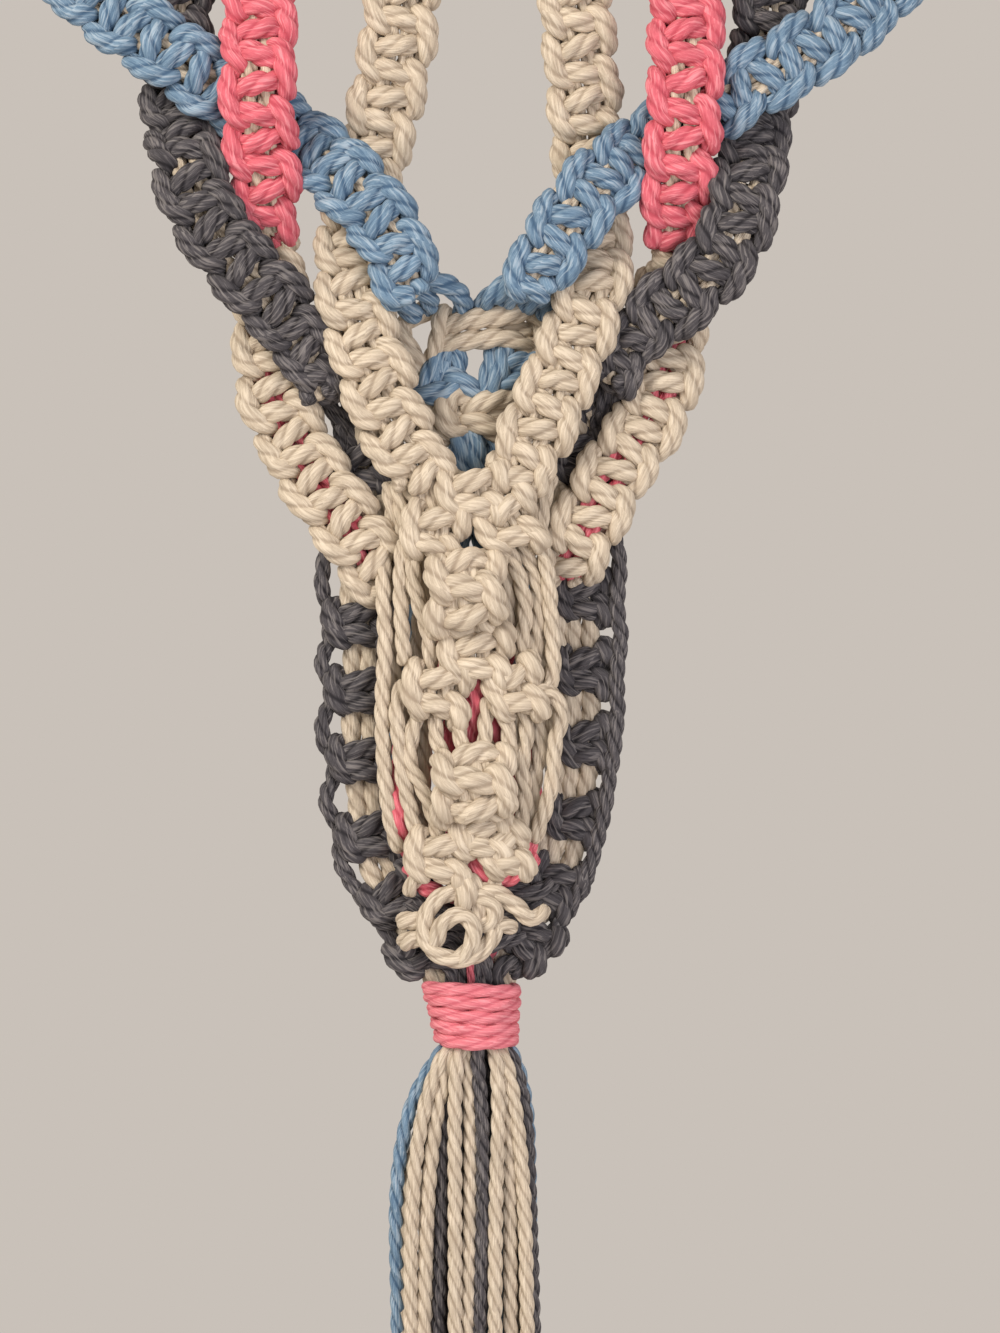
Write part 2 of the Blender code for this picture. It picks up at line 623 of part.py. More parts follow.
def wrap_at(down):
    """The wrap's centre across and its half width at one depth below the top edge."""
    share = (down - WRAP_TOP) / (WRAP_BOTTOM - WRAP_TOP)
    across = WRAP_ACROSS[0] + (WRAP_ACROSS[1] - WRAP_ACROSS[0]) * share
    return across, WRAP_OUTER[0] + (WRAP_OUTER[1] - WRAP_OUTER[0]) * share


def in_bore(down, clearance=WRAP_GAP):
    """An oval ring that fits the wrap's bore with this clearance."""
    across, half = wrap_at(down)
    inset = WRAP_WALL + clearance
    return oval(across, WRAP_FRONT, down, half - inset, WRAP_DEPTH - inset, WRAP_SIDES)


def neck():
    """Where the net's cords come together above the wrap and go down into it."""
    bm = bmesh.new()
    rings = [oval(row[3], WRAP_FRONT, row[0], row[1], row[2], WRAP_SIDES) for row in NECK]
    skin(bm, rings + [in_bore(WRAP_TOP - NECK_LAP), in_bore(NECK_FOOT)])
    return bm


def fuse(name, shapes, material):
    """Union closed shapes into one body."""
    meshes = [finish_mesh(shape, name) for shape in shapes]
    body = bpy.data.objects.new(name + "_raw", meshes[0])
    bpy.context.scene.collection.objects.link(body)
    for i, mesh in enumerate(meshes[1:]):
        other = bpy.data.objects.new(f"{name}_add_{i}", mesh)
        bpy.context.scene.collection.objects.link(other)
        cut = body.modifiers.new("Union", "BOOLEAN")
        cut.operation = "UNION"
        cut.solver = "EXACT"
        cut.object = other
        joined = bpy.data.meshes.new_from_object(
            body.evaluated_get(bpy.context.evaluated_depsgraph_get())
        )
        body.modifiers.clear()
        body.data = joined
        bpy.data.objects.remove(other)
    bm = bmesh.new()
    bm.from_mesh(body.data)
    bpy.data.objects.remove(body)
    bmesh.ops.dissolve_degenerate(bm, dist=1e-5, edges=bm.edges)
    bmesh.ops.triangulate(bm, faces=bm.faces)
    mesh = bpy.data.meshes.new(name)
    bm.to_mesh(mesh)
    bm.free()
    add_object(name, mesh, material)


def add_front_panel(material):
    """The cream panel: knots, two berries, the ring knot and the loose strands beside them."""
    shapes = [lump(*row, ridges=2, section=SECTION) for row in PANEL_KNOTS]
    shapes += [lump(*row, ridges=4, section=ROUND) for row in BERRIES]
    shapes += [stub("inner_left"), stub("inner_right"), ring_knot()]
    shapes += [strand(points) for points in PANEL_STRANDS]
    fuse("front_panel", shapes, material)


def add_back_net(material):
    """The net behind the panel: knots at its sides and middle, rungs, strands and its neck."""
    shapes = [lump(*row, ridges=2, section=SECTION) for row in NET_KNOTS]
    shapes += [rung(left, right) for left, right in RUNGS]
    shapes += [stub(route) for route in (
        "blue_left", "blue_right", "grey_left", "grey_right", "outer_left", "outer_right"
    )]
    shapes += [strand(points) for points in NET_STRANDS]
    shapes.append(neck())
    fuse("back_net", shapes, material)


def add_wrap(material):
    """The pink gathering wrap: a ring of turns round the neck and the tassel's head."""
    rings = []
    for k in range(2 * WRAP_TURNS + 1):
        down = WRAP_TOP + WRAP_PITCH * k / 2
        across, half = wrap_at(down)
        inward = 0 if k % 2 else WRAP_GROOVE
        rings.append(
            oval(across, WRAP_FRONT, down, half - inward, WRAP_DEPTH - inward, WRAP_SIDES)
        )
    rings += [in_bore(WRAP_BOTTOM, 0), in_bore(WRAP_TOP, 0)]
    bm = bmesh.new()
    loops = [[bm.verts.new(point) for point in ring] for ring in rings]
    for near, far in zip(loops, loops[1:] + loops[:1]):
        for i in range(WRAP_SIDES):
            j = (i + 1) % WRAP_SIDES
            bm.faces.new((near[i], near[j], far[j], far[i]))
    add_object("wrap", finish_mesh(bm, "wrap"), material)


def add_tassel(material):
    """The tassel: a head inside the wrap, and strands that stand apart below it."""
    head = bmesh.new()
    skin(head, [in_bore(NECK_FOOT + GAP), in_bore(WRAP_BOTTOM + HEAD_LAP)])
    shapes = [head]
    for number, (count, near_w, near_d, far_w, far_d) in enumerate(TASSEL_RINGS):
        for i in range(count):
            turn = 2 * math.pi * (i + 0.5 * (number % 2)) / count
            end = TASSEL_END - TASSEL_UNEVEN * ((i * 5 + number * 3) % 4)
            half_way = (near_w + far_w) / 2, (near_d + far_d) / 2
            rows = (
                (TASSEL_START, near_w, near_d, WRAP_ACROSS[1], TASSEL_FULL[0]),
                (TASSEL_FAN, *half_way, TASSEL_FAN_ACROSS, TASSEL_FULL[1]),
                (TASSEL_SPREAD, far_w, far_d, TASSEL_ACROSS, TASSEL_FULL[2]),
                (end, far_w, far_d, TASSEL_ACROSS, TASSEL_FULL[2]),
            )
            bm = bmesh.new()
            skin(bm, [
                oval(
                    across + half_w * math.cos(turn), WRAP_FRONT + half_d * math.sin(turn), down,
                    TASSEL_STRAND * half, TASSEL_STRAND * half, TASSEL_SIDES,
                )
                for down, half_w, half_d, across, half in rows
            ])
            shapes.append(bm)
    fuse("tassel", shapes, material)


def build():
    for old in list(bpy.data.objects):
        bpy.data.objects.remove(old)
    dyes = {hex_colour: cotton(name, hex_colour) for name, hex_colour in (
        ("cotton_blue", BLUE), ("cotton_grey", GREY), ("cotton_pink", PINK),
        ("cotton_cream", CREAM),
    )}
    for name, route, down_from, down_to, colour in SENNITS:
        add_sennit(name, route, down_from, down_to, dyes[colour])
    add_front_panel(dyes[CREAM])
    add_back_net(dyes[GREY])
    add_wrap(dyes[PINK])
    add_tassel(dyes[CREAM])


build()
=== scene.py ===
# %% [markdown]
# # A macrame hanging in twisted cotton cord
#
# Macrame is knotting with nothing but cord: no needle, no weave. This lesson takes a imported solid
# model of a hanging, in which each knotted strap is one ridged bar, and dresses it cord by cord.
# Every cord is a curve with a three-lobed section that turns as it goes, like a real rope.
#
# The solids keep their place. The cords follow the same routes as the solids, in the same frame:
# X is to the right, -Y is the front, Z is up, and the middle of the top edge is the origin.

# %% The frame, and the box round the solids
import math

import bmesh
import bpy
import numpy as np
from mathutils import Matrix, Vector


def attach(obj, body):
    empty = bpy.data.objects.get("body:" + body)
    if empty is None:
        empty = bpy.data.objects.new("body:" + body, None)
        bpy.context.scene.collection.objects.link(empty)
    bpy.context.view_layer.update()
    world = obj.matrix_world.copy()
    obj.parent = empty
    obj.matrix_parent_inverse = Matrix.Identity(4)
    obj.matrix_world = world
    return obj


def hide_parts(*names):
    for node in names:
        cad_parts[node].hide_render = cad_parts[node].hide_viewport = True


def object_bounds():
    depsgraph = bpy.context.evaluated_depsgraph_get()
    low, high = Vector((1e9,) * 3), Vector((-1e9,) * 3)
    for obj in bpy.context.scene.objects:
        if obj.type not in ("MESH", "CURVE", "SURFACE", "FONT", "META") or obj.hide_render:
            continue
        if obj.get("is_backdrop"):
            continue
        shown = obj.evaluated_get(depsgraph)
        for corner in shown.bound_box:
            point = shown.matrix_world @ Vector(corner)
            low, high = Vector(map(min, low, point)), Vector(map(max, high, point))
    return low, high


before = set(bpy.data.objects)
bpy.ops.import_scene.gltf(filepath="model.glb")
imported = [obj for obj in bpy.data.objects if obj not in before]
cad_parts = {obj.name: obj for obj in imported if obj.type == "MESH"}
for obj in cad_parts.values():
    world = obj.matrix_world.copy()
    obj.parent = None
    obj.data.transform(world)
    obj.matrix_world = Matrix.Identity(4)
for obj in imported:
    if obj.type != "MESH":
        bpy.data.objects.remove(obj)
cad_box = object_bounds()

print("solids to dress:", sorted(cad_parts))

# %% [markdown]
# ## Sizes
#
# Everything is driven by the cord: 5 mm thick, three plies laid together. A square knot tied in it
# is about three cords long and four and a half wide. Lengths here are in millimetres, because a
# maker measures cord that way, and they are turned into metres when a mesh is made.

# %% The cord, and the way the hanging is measured
MM = 0.001
CORD = 5.0  # thickness of the cord
KNOT_PITCH = 3.1 * CORD  # length of one whole square knot
LAY = 3.9 * CORD  # length in which a ply goes once round the cord
GREY_LAY = 3.5 * CORD  # the grey cord is laid a little harder
RING_SPACING = 0.27 * CORD  # from one ring of points to the next along a cord
PROFILE_POINTS = 18  # points round the cord, six to a ply
luck = np.random.default_rng(12)  # seeded, so that the hanging is the same each time


def place(across, down, front):
    """From the front view's own measures to X, Y and Z, still in millimetres."""
    return np.array([across, -front, -down], float)


print(f"cord {CORD} mm, one knot {KNOT_PITCH:.1f} mm long, one turn of the plies {LAY:.1f} mm")

# %% [markdown]
# ## The routes of the eight sennits
#
# A sennit is a chain of knots: here, square knots tied with two cords round two others. Eight of
# them hang from the top edge and cross over each other on their way down. Each route is a short
# list of bends that a smooth curve is read through. Where two routes cross, one has to lie in front
# of the other, and guessing those depths by hand for ten crossings goes wrong. So the routes are
# eased apart, a little at a time, until each sennit just lies on the one below it, as cloth does.

# %% Bends of each route: across, down, front, breadth (1 is a sennit's full width)
ROUTES = {
    "blue_left": [
        (-130.5, 0, 0, 1), (-129, 18, 0, 1), (-121, 36, 0, 1), (-108, 48, 1, 1),
        (-96, 57.5, 3, 1), (-84, 66, 2.5, 1), (-74, 73, -1, 1), (-62.5, 80, -4, 1),
        (-51, 87, -3, 1), (-41.7, 95.4, 1, 1), (-34.5, 103, 3.5, 1), (-27.6, 111, 3, 1),
        (-22.2, 119.4, 1.5, 0.95), (-19.5, 127.8, -3, 0.85), (-18.5, 136, -8, 0.7),
        (-17, 142, -12, 0.6),
    ],
    "blue_right": [
        (135, 0, 0, 1), (133.5, 21, 0, 1), (127.5, 36, 0, 1), (118.5, 46.5, 0, 1),
        (109.5, 55.5, 1.5, 1), (99, 62.5, 3, 1), (88.5, 69, 3, 1), (78, 74.5, -1, 1),
        (64, 82, -4, 1), (51, 90, -2.5, 1), (40, 99.6, 2, 1), (32.4, 108, 3, 1),
        (28, 115.5, 2, 1), (23.7, 122.4, 0, 0.95), (20, 129, -4, 0.8), (18, 137, -9, 0.7),
        (17, 142, -12, 0.6),
    ],
    "grey_left": [
        (-88.5, 0, -4, 1), (-88.5, 45, -6.5, 1), (-89.4, 62.5, -7.8, 1), (-88.5, 74, -6, 1),
        (-86.5, 84, -3, 1), (-84.5, 94.5, -1, 1), (-81, 106.5, 1, 1), (-75, 117, 2.4, 1),
        (-66.5, 127.5, 3, 1), (-58.5, 136, 1.5, 1), (-53.4, 143.4, -1.5, 0.9),
        (-49.5, 150, -4, 0.75), (-46.5, 156.6, -7, 0.6), (-43.5, 164.4, -10, 0.55),
        (-40, 171, -12, 0.5),
    ],
    "grey_right": [
        (90.6, 0, -4, 1), (90.6, 45, -6.5, 1), (88.5, 68, -7.8, 1), (86.5, 78, -6, 1),
        (84, 93, -2, 1), (81.6, 105, 0.5, 1), (79, 115.5, 2.2, 1), (72.6, 126, 3, 1),
        (64.5, 134, 2, 1), (54.5, 141, -1.5, 0.9), (49.2, 147, -4.5, 0.7),
        (45.6, 153, -7, 0.6), (42.6, 160.5, -10, 0.55), (39.5, 167, -12, 0.5),
    ],
    "outer_left": [
        (-62.5, 0, 1, 1), (-62.5, 45, 3, 1), (-62.6, 68, 5.5, 1), (-62.7, 80, 7, 1),
        (-62, 92, 4.5, 1), (-61, 103, -1.5, 0.9), (-60.5, 113, -5, 0.64), (-60, 127, -8, 0.95),
        (-61.3, 138, -8, 1), (-60.6, 150, -6.5, 1), (-59, 164, -4.5, 1), (-54, 175.5, -3.5, 1),
        (-47, 188, -3, 1), (-40.5, 197.5, -3, 1), (-33, 207, -3.5, 1), (-27, 217.5, -6, 0.9),
        (-24, 225, -11, 0.7),
    ],
    "outer_right": [
        (64.5, 0, 1, 1), (64.5, 45, 3, 1), (64, 63, 5.5, 1), (63.3, 81, 7, 1),
        (62.7, 96, 4.5, 1), (61.9, 108, -1, 0.9), (61, 119, -5.5, 0.66), (59.5, 132, -8, 0.95),
        (60, 141, -8, 1), (60.6, 150, -6.5, 1), (58.5, 159.6, -4.5, 1), (54, 170.4, -3.5, 1),
        (46, 182, -3, 1), (40.2, 192.3, -3, 1), (36, 201, -3.5, 1), (32, 209.5, -5, 0.95),
        (28.8, 219, -10, 0.7),
    ],
    "inner_left": [
        (-20.4, 0, -2, 1), (-20.4, 45, -4, 1), (-23, 64.5, -5.5, 1), (-25.5, 75, -6.5, 1),
        (-29, 88, -7.5, 1), (-32, 99, -7.8, 1), (-34.5, 108, -7, 1), (-35.5, 117, -5.5, 1),
        (-35.6, 126, -2, 1), (-34.8, 135, 2.5, 1), (-32, 147, 5.5, 1), (-28, 159, 5.5, 1),
        (-23.7, 171, 5, 1), (-17.5, 182, 4.5, 0.95), (-13.5, 188.4, 4, 0.85),
        (-10, 196, 3.5, 0.8),
    ],
    "inner_right": [
        (31.8, 0, -2, 1), (31.8, 45, -4, 1), (33.5, 62, -5.5, 1), (35, 78, -7, 1),
        (36, 90, -7.8, 1), (37.2, 105, -7.2, 1), (37.5, 119, -5, 1), (37.2, 129, 0, 1),
        (35.2, 137, 3.5, 1), (32.4, 145.5, 5.3, 1), (29, 154, 5.5, 1), (24.2, 165, 5, 1),
        (19.2, 177, 4.5, 1), (14.5, 186, 4, 0.88), (11.5, 195, 3.5, 0.8),
    ],
}
print(f"{len(ROUTES)} routes with {sum(map(len, ROUTES.values()))} bends")

# %% Which sennit lies over which, and between what depths below the top edge
LAYERS = [
    ("outer_left", "blue_left", 50, 112),
    ("outer_right", "blue_right", 50, 112),
    ("blue_left", "grey_left", 35, 100),
    ("blue_right", "grey_right", 35, 105),
    ("blue_left", "inner_left", 80, 146),
    ("blue_right", "inner_right", 80, 146),
    ("grey_left", "outer_left", 85, 178),
    ("grey_right", "outer_right", 104, 172),
    ("inner_left", "grey_left", 118, 178),
    ("inner_right", "grey_right", 118, 172),
]
print("crossings:", len(LAYERS))

# %% A smooth curve through the bends
STEP = 2.0  # spacing of the points read along a route


def curved_between(p0, p1, p2, p3, t):
    """Points from p1 to p2 on a smooth curve that heeds the points before and after them."""
    return 0.5 * (2 * p1 + (p2 - p0) * t + (2 * p0 - 5 * p1 + 4 * p2 - p3) * t**2
                  + (3 * p1 - p0 - 3 * p2 + p3) * t**3)


def lengths_along(points):
    """How far along its path each point is."""
    steps = np.linalg.norm(np.diff(points[:, :3], axis=0), axis=1)
    return np.concatenate([[0.0], np.cumsum(steps)])


def smooth_curve(rows, step=STEP):
    """Points of a smooth curve through the rows; values past the third are carried along."""
    points = np.array([[*place(*row[:3]), *row[3:]] for row in rows], float)
    ends = np.vstack([points[:1], points, points[-1:]])
    dense = []
    for p0, p1, p2, p3 in zip(ends, ends[1:], ends[2:], ends[3:]):
        pieces = max(2, round(float(np.linalg.norm((p2 - p1)[:3])) / step))
        t = np.arange(pieces)[:, None] / pieces
        dense.append(curved_between(p0, p1, p2, p3, t))
    return np.vstack([*dense, points[-1:]])


routes = {name: smooth_curve(rows) for name, rows in ROUTES.items()}
print("points on each route:", {name: len(points) for name, points in routes.items()})

# %% How thick a sennit is, and where one covers another
SENNIT_HALF = 2.28 * CORD  # half the width of a sennit, bumps and all
SENNIT_DEPTH = 1.1 * CORD  # from its middle to its face
FLAT_BACK = 0.92  # its back is this much flatter than its face
SHOULDER_OUT, SHOULDER_HEIGHT = 0.62, 0.94  # it thins from its shoulders to its edges
CROSSING_GAP = 0.7  # left between two sennits
CROSSING_SAMPLES = 13  # places across the upper sennit that are looked at


def section_height(out):
    """How thick half a sennit is, as a share, this far out from its middle (0 to 1)."""
    out = np.clip(np.abs(out), 0, 1)
    slope = SHOULDER_HEIGHT * (1 - out) / (1 - SHOULDER_OUT)
    return np.where(out < SHOULDER_OUT, SHOULDER_HEIGHT, slope)


def depth_share(breadth):
    """A sennit that is drawn narrow loses only half as much of its depth."""
    return 0.5 + 0.5 * breadth


def crossing_contacts(over, under, down_from, down_to):
    """Pairs of points where one sennit covers another, and how far apart they must lie."""
    side = np.gradient(over[:, [0, 2]], axis=0)
    side = np.stack([-side[:, 1], side[:, 0]], axis=1)
    side /= np.linalg.norm(side, axis=1, keepdims=True)
    contacts = []
    for i in np.flatnonzero((-over[:, 2] >= down_from) & (-over[:, 2] <= down_to)):
        for out in np.linspace(-1, 1, CROSSING_SAMPLES):
            spot = over[i, [0, 2]] + side[i] * out * SENNIT_HALF * over[i, 3]
            away = np.linalg.norm(under[:, [0, 2]] - spot, axis=1)
            j = int(np.argmin(away))
            reach = SENNIT_HALF * under[j, 3]
            if away[j] < reach:
                need = SENNIT_DEPTH * FLAT_BACK * section_height(out) * depth_share(over[i, 3])
                need += SENNIT_DEPTH * section_height(away[j] / reach) * depth_share(under[j, 3])
                contacts.append((i, j, float(need) + CROSSING_GAP))
    return contacts


layers = [(over, under, crossing_contacts(routes[over], routes[under], top, foot))
          for over, under, top, foot in LAYERS]
print("pairs of points that must be apart:", sum(len(contacts) for _, _, contacts in layers))

# %% Ease the crossing routes apart
SETTLE_STEPS = 250
SMOOTHED_STEPS = 240  # rounds in which the easing is also smoothed along the route
SMOOTH_KEEP = 0.4


def settle(routes, layers):
    """Ease the routes apart, front to back, and say how far the furthest point had to move."""
    shift = {name: np.zeros(len(points)) for name, points in routes.items()}
    for step in range(SETTLE_STEPS):
        for over, under, contacts in layers:
            for i, j, need in contacts:
                apart = routes[under][j, 1] - shift[under][j]
                apart -= routes[over][i, 1] - shift[over][i]
                if apart < need:
                    shift[over][i] += (need - apart) / 2
                    shift[under][j] -= (need - apart) / 2
        if step > SMOOTHED_STEPS:
            continue
        for name, values in shift.items():
            padded = np.concatenate([values[:1], values, values[-1:]])
            shift[name] = SMOOTH_KEEP * values + (1 - SMOOTH_KEEP) * (padded[:-2] + padded[2:]) / 2
    for name, values in shift.items():
        routes[name][:, 1] -= values
    return max(float(np.abs(values).max()) for values in shift.values())


print(f"the routes were eased apart by up to {settle(routes, layers):.1f} mm")

# %% [markdown]
# ## A route as a ruler
#
# To tie knots along a curved route, each point of a knot is first given in the knot's own terms: how
# far along, how far to the right and how far to the front. A ruler turns those into space. It keeps
# the direction of travel at every length, and the two directions across it.

# %% The ruler
DIRECTION_SPAN = 6.0  # the direction is taken over this length, so that it turns gently
SHORTEST = 0.1  # even the shortest ruler has a direction


class Ruler:
    """Places points by their length along a route, and their distance to its right and front."""

    def __init__(self, points):
        self.points = points[:, :3]
        self.breadth = points[:, 3] if points.shape[1] > 3 else np.ones(len(points))
        self.along = lengths_along(self.points)
        self.length = float(self.along[-1])

    def centre(self, s):
        inside = np.clip(s, 0, self.length)
        return np.stack([np.interp(inside, self.along, self.points[:, k]) for k in range(3)], -1)

    def direction(self, s):
        inside = np.clip(s, DIRECTION_SPAN / 2, max(self.length - DIRECTION_SPAN / 2, SHORTEST))
        run = self.centre(inside + DIRECTION_SPAN / 2) - self.centre(inside - DIRECTION_SPAN / 2)
        return run / np.linalg.norm(run, axis=-1, keepdims=True)

    def length_at_depth(self, down):
        found = np.flatnonzero(-self.points[:, 2] >= down)
        return float(self.along[found[0]]) if len(found) else self.length

    def at(self, s, right, front):
        """Points at lengths s, this far to the right and to the front; breadth narrows both."""
        s, right, front = (np.asarray(v, float) for v in (s, right, front))
        ahead = self.direction(s)
        facing = np.array([0.0, -1.0, 0.0]) + ahead * ahead[..., 1:2]
        facing /= np.linalg.norm(facing, axis=-1, keepdims=True)
        sideways = np.cross(facing, ahead)
        breadth = np.interp(np.clip(s, 0, self.length), self.along, self.breadth)
        beyond = (s - np.clip(s, 0, self.length))[..., None]
        return (self.centre(s) + ahead * beyond + sideways * (right * breadth)[..., None]
                + facing * (front * depth_share(breadth))[..., None])


rulers = {name: Ruler(points) for name, points in routes.items()}
print("route lengths in mm:", {name: round(ruler.length) for name, ruler in rulers.items()})

# %% [markdown]
# ## Cotton that was spun, plied and dyed
#
# The cord is cotton, S-laid from three plies. Its surface is matt and slightly fluffy: light grazes
# the loose fibres, which is what the sheen of the shader is for. A photograph of cord could be
# wrapped round it, but it would blur close by and repeat. So three things are drawn instead. The
# fibres run almost straight along the cord as stretched noise, turned back by the angle of the lay:
# streaks of painted highlight where they catch the light, and painted shade on fibres in the shade
# of others and in the thin gaps between them. The hollow between two plies is painted darker, as
# painted shade. And the dye itself took a little unevenly.
# A pattern that follows a cord has to use the cord's own measure, so each cord carries a UV map in
# millimetres: along it in U and round it in V.

# %% A helper for colours, and one for nodes
def linear(hex_colour):
    """An sRGB hex colour as Blender's linear values."""
    channels = [int(hex_colour[i:i + 2], 16) / 255 for i in (1, 3, 5)]
    return tuple(c / 12.92 if c <= 0.04045 else ((c + 0.055) / 1.055) ** 2.4 for c in channels)


def node(tree, kind, settings=None, **inputs):
    """Add one node, with its settings, and set or link its inputs by name, or by number as i0."""
    added = tree.nodes.new(kind)
    for name, value in (settings or {}).items():
        setattr(added, name, value)
    for name, value in inputs.items():
        numbered = name[0] == "i" and name[1:].isdigit()
        socket = added.inputs[int(name[1:]) if numbered else name]
        if isinstance(value, bpy.types.NodeSocket):
            tree.links.new(value, socket)
        else:
            socket.default_value = value
    return added


print("the cream dye as linear values:", [round(c, 3) for c in linear("#CEC0AB")])

# %% The dyed cottons
DYES_AND_PAINTED_LIGHT = {  # name: the lit face of the cord, painted shade for its hollows and for fibres in shade, painted highlight for fibres that catch the light (also the sheen's tint), sheen, length of lay
    "cotton_cream": ("#CEC0AB", "#A69683", "#DCCFBB", 0.12, LAY),
    "cotton_pink": ("#D96F7B", "#BC4F5D", "#EF9BA2", 0.12, LAY),
    "cotton_blue": ("#7993A9", "#445F7A", "#ABBAC6", 0.12, LAY),
    "cotton_grey": ("#575457", "#28262A", "#878280", 0.14, GREY_LAY),
    "cotton_pink_wound": ("#E5858F", "#CB6572", "#F2A2A9", 0.12, LAY),  # the wound cord is smoother; this is the same pink painted paler, as painted light on the wrap
}
print("dyes:", sorted(DYES_AND_PAINTED_LIGHT))

# %% Make each cotton from its dye
FIBRE_WIDTH = 0.5  # a bundle of fibres that shows as one streak; single ones are too fine
FIBRE_LENGTH = 9.0
FIBRE_BUMP = 0.45
PATCHES_PER_MM = 0.09  # the dye took unevenly, in patches about a centimetre long
PATCH_SHADES = (0.82, 1.12)
PLY_WIDTH = math.pi * CORD / 3
CREST_START = -0.45  # of the cosine across a ply: below it the painted shade of the hollow begins
ROUGHNESS, SPECULAR, SHEEN_ROUGHNESS = 0.88, 0.22, 0.55  # cotton is matt all over


def plied_cotton(name):
    """Dyed cotton cord: painted highlight and shade on its fibres, painted shade in its ply hollows,
    a sheen.
    """
    lit, painted_shade, highlight_and_sheen_tint = ((*linear(colour), 1) for colour in DYES_AND_PAINTED_LIGHT[name][:3])
    sheen, lay = DYES_AND_PAINTED_LIGHT[name][3:]
    material = bpy.data.materials.new(name)
    material.use_nodes = True
    tree = material.node_tree
    shader = tree.nodes["Principled BSDF"]
    finish = {"Roughness": ROUGHNESS, "Specular IOR Level": SPECULAR, "Sheen Weight": sheen,
              "Sheen Roughness": SHEEN_ROUGHNESS, "Sheen Tint": highlight_and_sheen_tint}
    for socket, value in finish.items():
        shader.inputs[socket].default_value = value
    length_round = node(tree, "ShaderNodeUVMap", {"uv_map": "UVMap"}).outputs["UV"]
    turned = node(tree, "ShaderNodeMapping", Vector=length_round,
                  Rotation=(0, 0, math.atan(math.pi * CORD / lay)))
    streaks = node(tree, "ShaderNodeMapping", Vector=turned.outputs["Vector"],
                   Scale=(1 / FIBRE_LENGTH, 1 / FIBRE_WIDTH, 1))
    fibre = node(tree, "ShaderNodeTexNoise", {"noise_dimensions": "2D"}, Scale=1.0, Detail=3.0,
                 Roughness=0.6, Vector=streaks.outputs["Vector"]).outputs["Fac"]
    patches = node(tree, "ShaderNodeTexNoise", {"noise_dimensions": "2D"}, Scale=PATCHES_PER_MM,
                   Detail=2.0, Vector=length_round).outputs["Fac"]
    # Painted shade: the hollows between the plies are painted darker, by the cosine across a ply.
    split = node(tree, "ShaderNodeSeparateXYZ", Vector=length_round)
    ply = node(tree, "ShaderNodeMath", {"operation": "MULTIPLY"}, i0=split.outputs["Y"],
               i1=2 * math.pi / PLY_WIDTH)
    crest = node(tree, "ShaderNodeMath", {"operation": "COSINE"}, i0=ply.outputs["Value"])
    depth = node(tree, "ShaderNodeMapRange", Value=crest.outputs["Value"],
                 **{"From Min": -1.0, "From Max": CREST_START})
    body = node(tree, "ShaderNodeMix", {"data_type": "RGBA"}, Factor=depth.outputs["Result"],
                i6=painted_shade, i7=lit)
    off_middle = node(tree, "ShaderNodeMath", {"operation": "SUBTRACT"}, i0=fibre, i1=0.5)
    gap_shade_mask = node(tree, "ShaderNodeMath", {"operation": "ABSOLUTE"}, i0=off_middle.outputs[0])
    fibre_layers = [  # what is read, from, to, the share of the colour there and there, the colour painted in
        (fibre, 0.50, 0.30, 0.0, 0.75, painted_shade),  # painted shade on fibres in the shade of others
        (fibre, 0.50, 0.68, 0.0, 0.70, highlight_and_sheen_tint),  # painted highlight on fibres that catch the light
        (gap_shade_mask.outputs[0], 0.0, 0.035, 0.55, 0.0, painted_shade),  # painted shade in the thin gaps between them
    ]
    colour = body.outputs[2]
    for value, low, high, low_share, high_share, painted_colour in fibre_layers:
        share = node(tree, "ShaderNodeMapRange", Value=value, **{
            "From Min": low, "From Max": high, "To Min": low_share, "To Max": high_share})
        mixed = node(tree, "ShaderNodeMix", {"data_type": "RGBA"}, Factor=share.outputs["Result"],
                     i6=colour, i7=painted_colour)
        colour = mixed.outputs[2]
    uneven = node(tree, "ShaderNodeMapRange", Value=patches,
                  **{"To Min": PATCH_SHADES[0], "To Max": PATCH_SHADES[1]})
    shaded = node(tree, "ShaderNodeVectorMath", {"operation": "SCALE"}, i0=colour,
                  Scale=uneven.outputs["Result"])
    tree.links.new(shaded.outputs["Vector"], shader.inputs["Base Color"])
    bump = node(tree, "ShaderNodeBump", Height=fibre, Strength=1.0, Distance=FIBRE_BUMP * MM)
    tree.links.new(bump.outputs["Normal"], shader.inputs["Normal"])
    return material


cottons = {name: plied_cotton(name) for name in DYES_AND_PAINTED_LIGHT}
nodes_used = [len(cotton.node_tree.nodes) for cotton in cottons.values()]
print("nodes in each cotton:", dict(zip(cottons, nodes_used)))

# %% [markdown]
# ## One cord
#
# A cord could be a round tube with painted plies, which looks flat at its edges, or three thin tubes
# twisted together, which costs three times the faces and hides many of them. Here it is one tube
# with the outline of three plies: three circles pushed into each other. Swept along the path while
# it turns once in each length of lay, that outline gives the plies. A curve with this section as
# its bevel object does the sweeping, and the tilt of each point does the turning. The curve is made
# a mesh straight away, so that many cords can be joined into one piece and their map can be set in
# millimetres.

# %% The section of the cord, and the curve that forms every cord
HANGING_LOBES = 0.44  # how far out the plies' middles lie: deep hollows between them
TIED_LOBES = 0.34  # plies pressed into each other where the cord is pulled tight


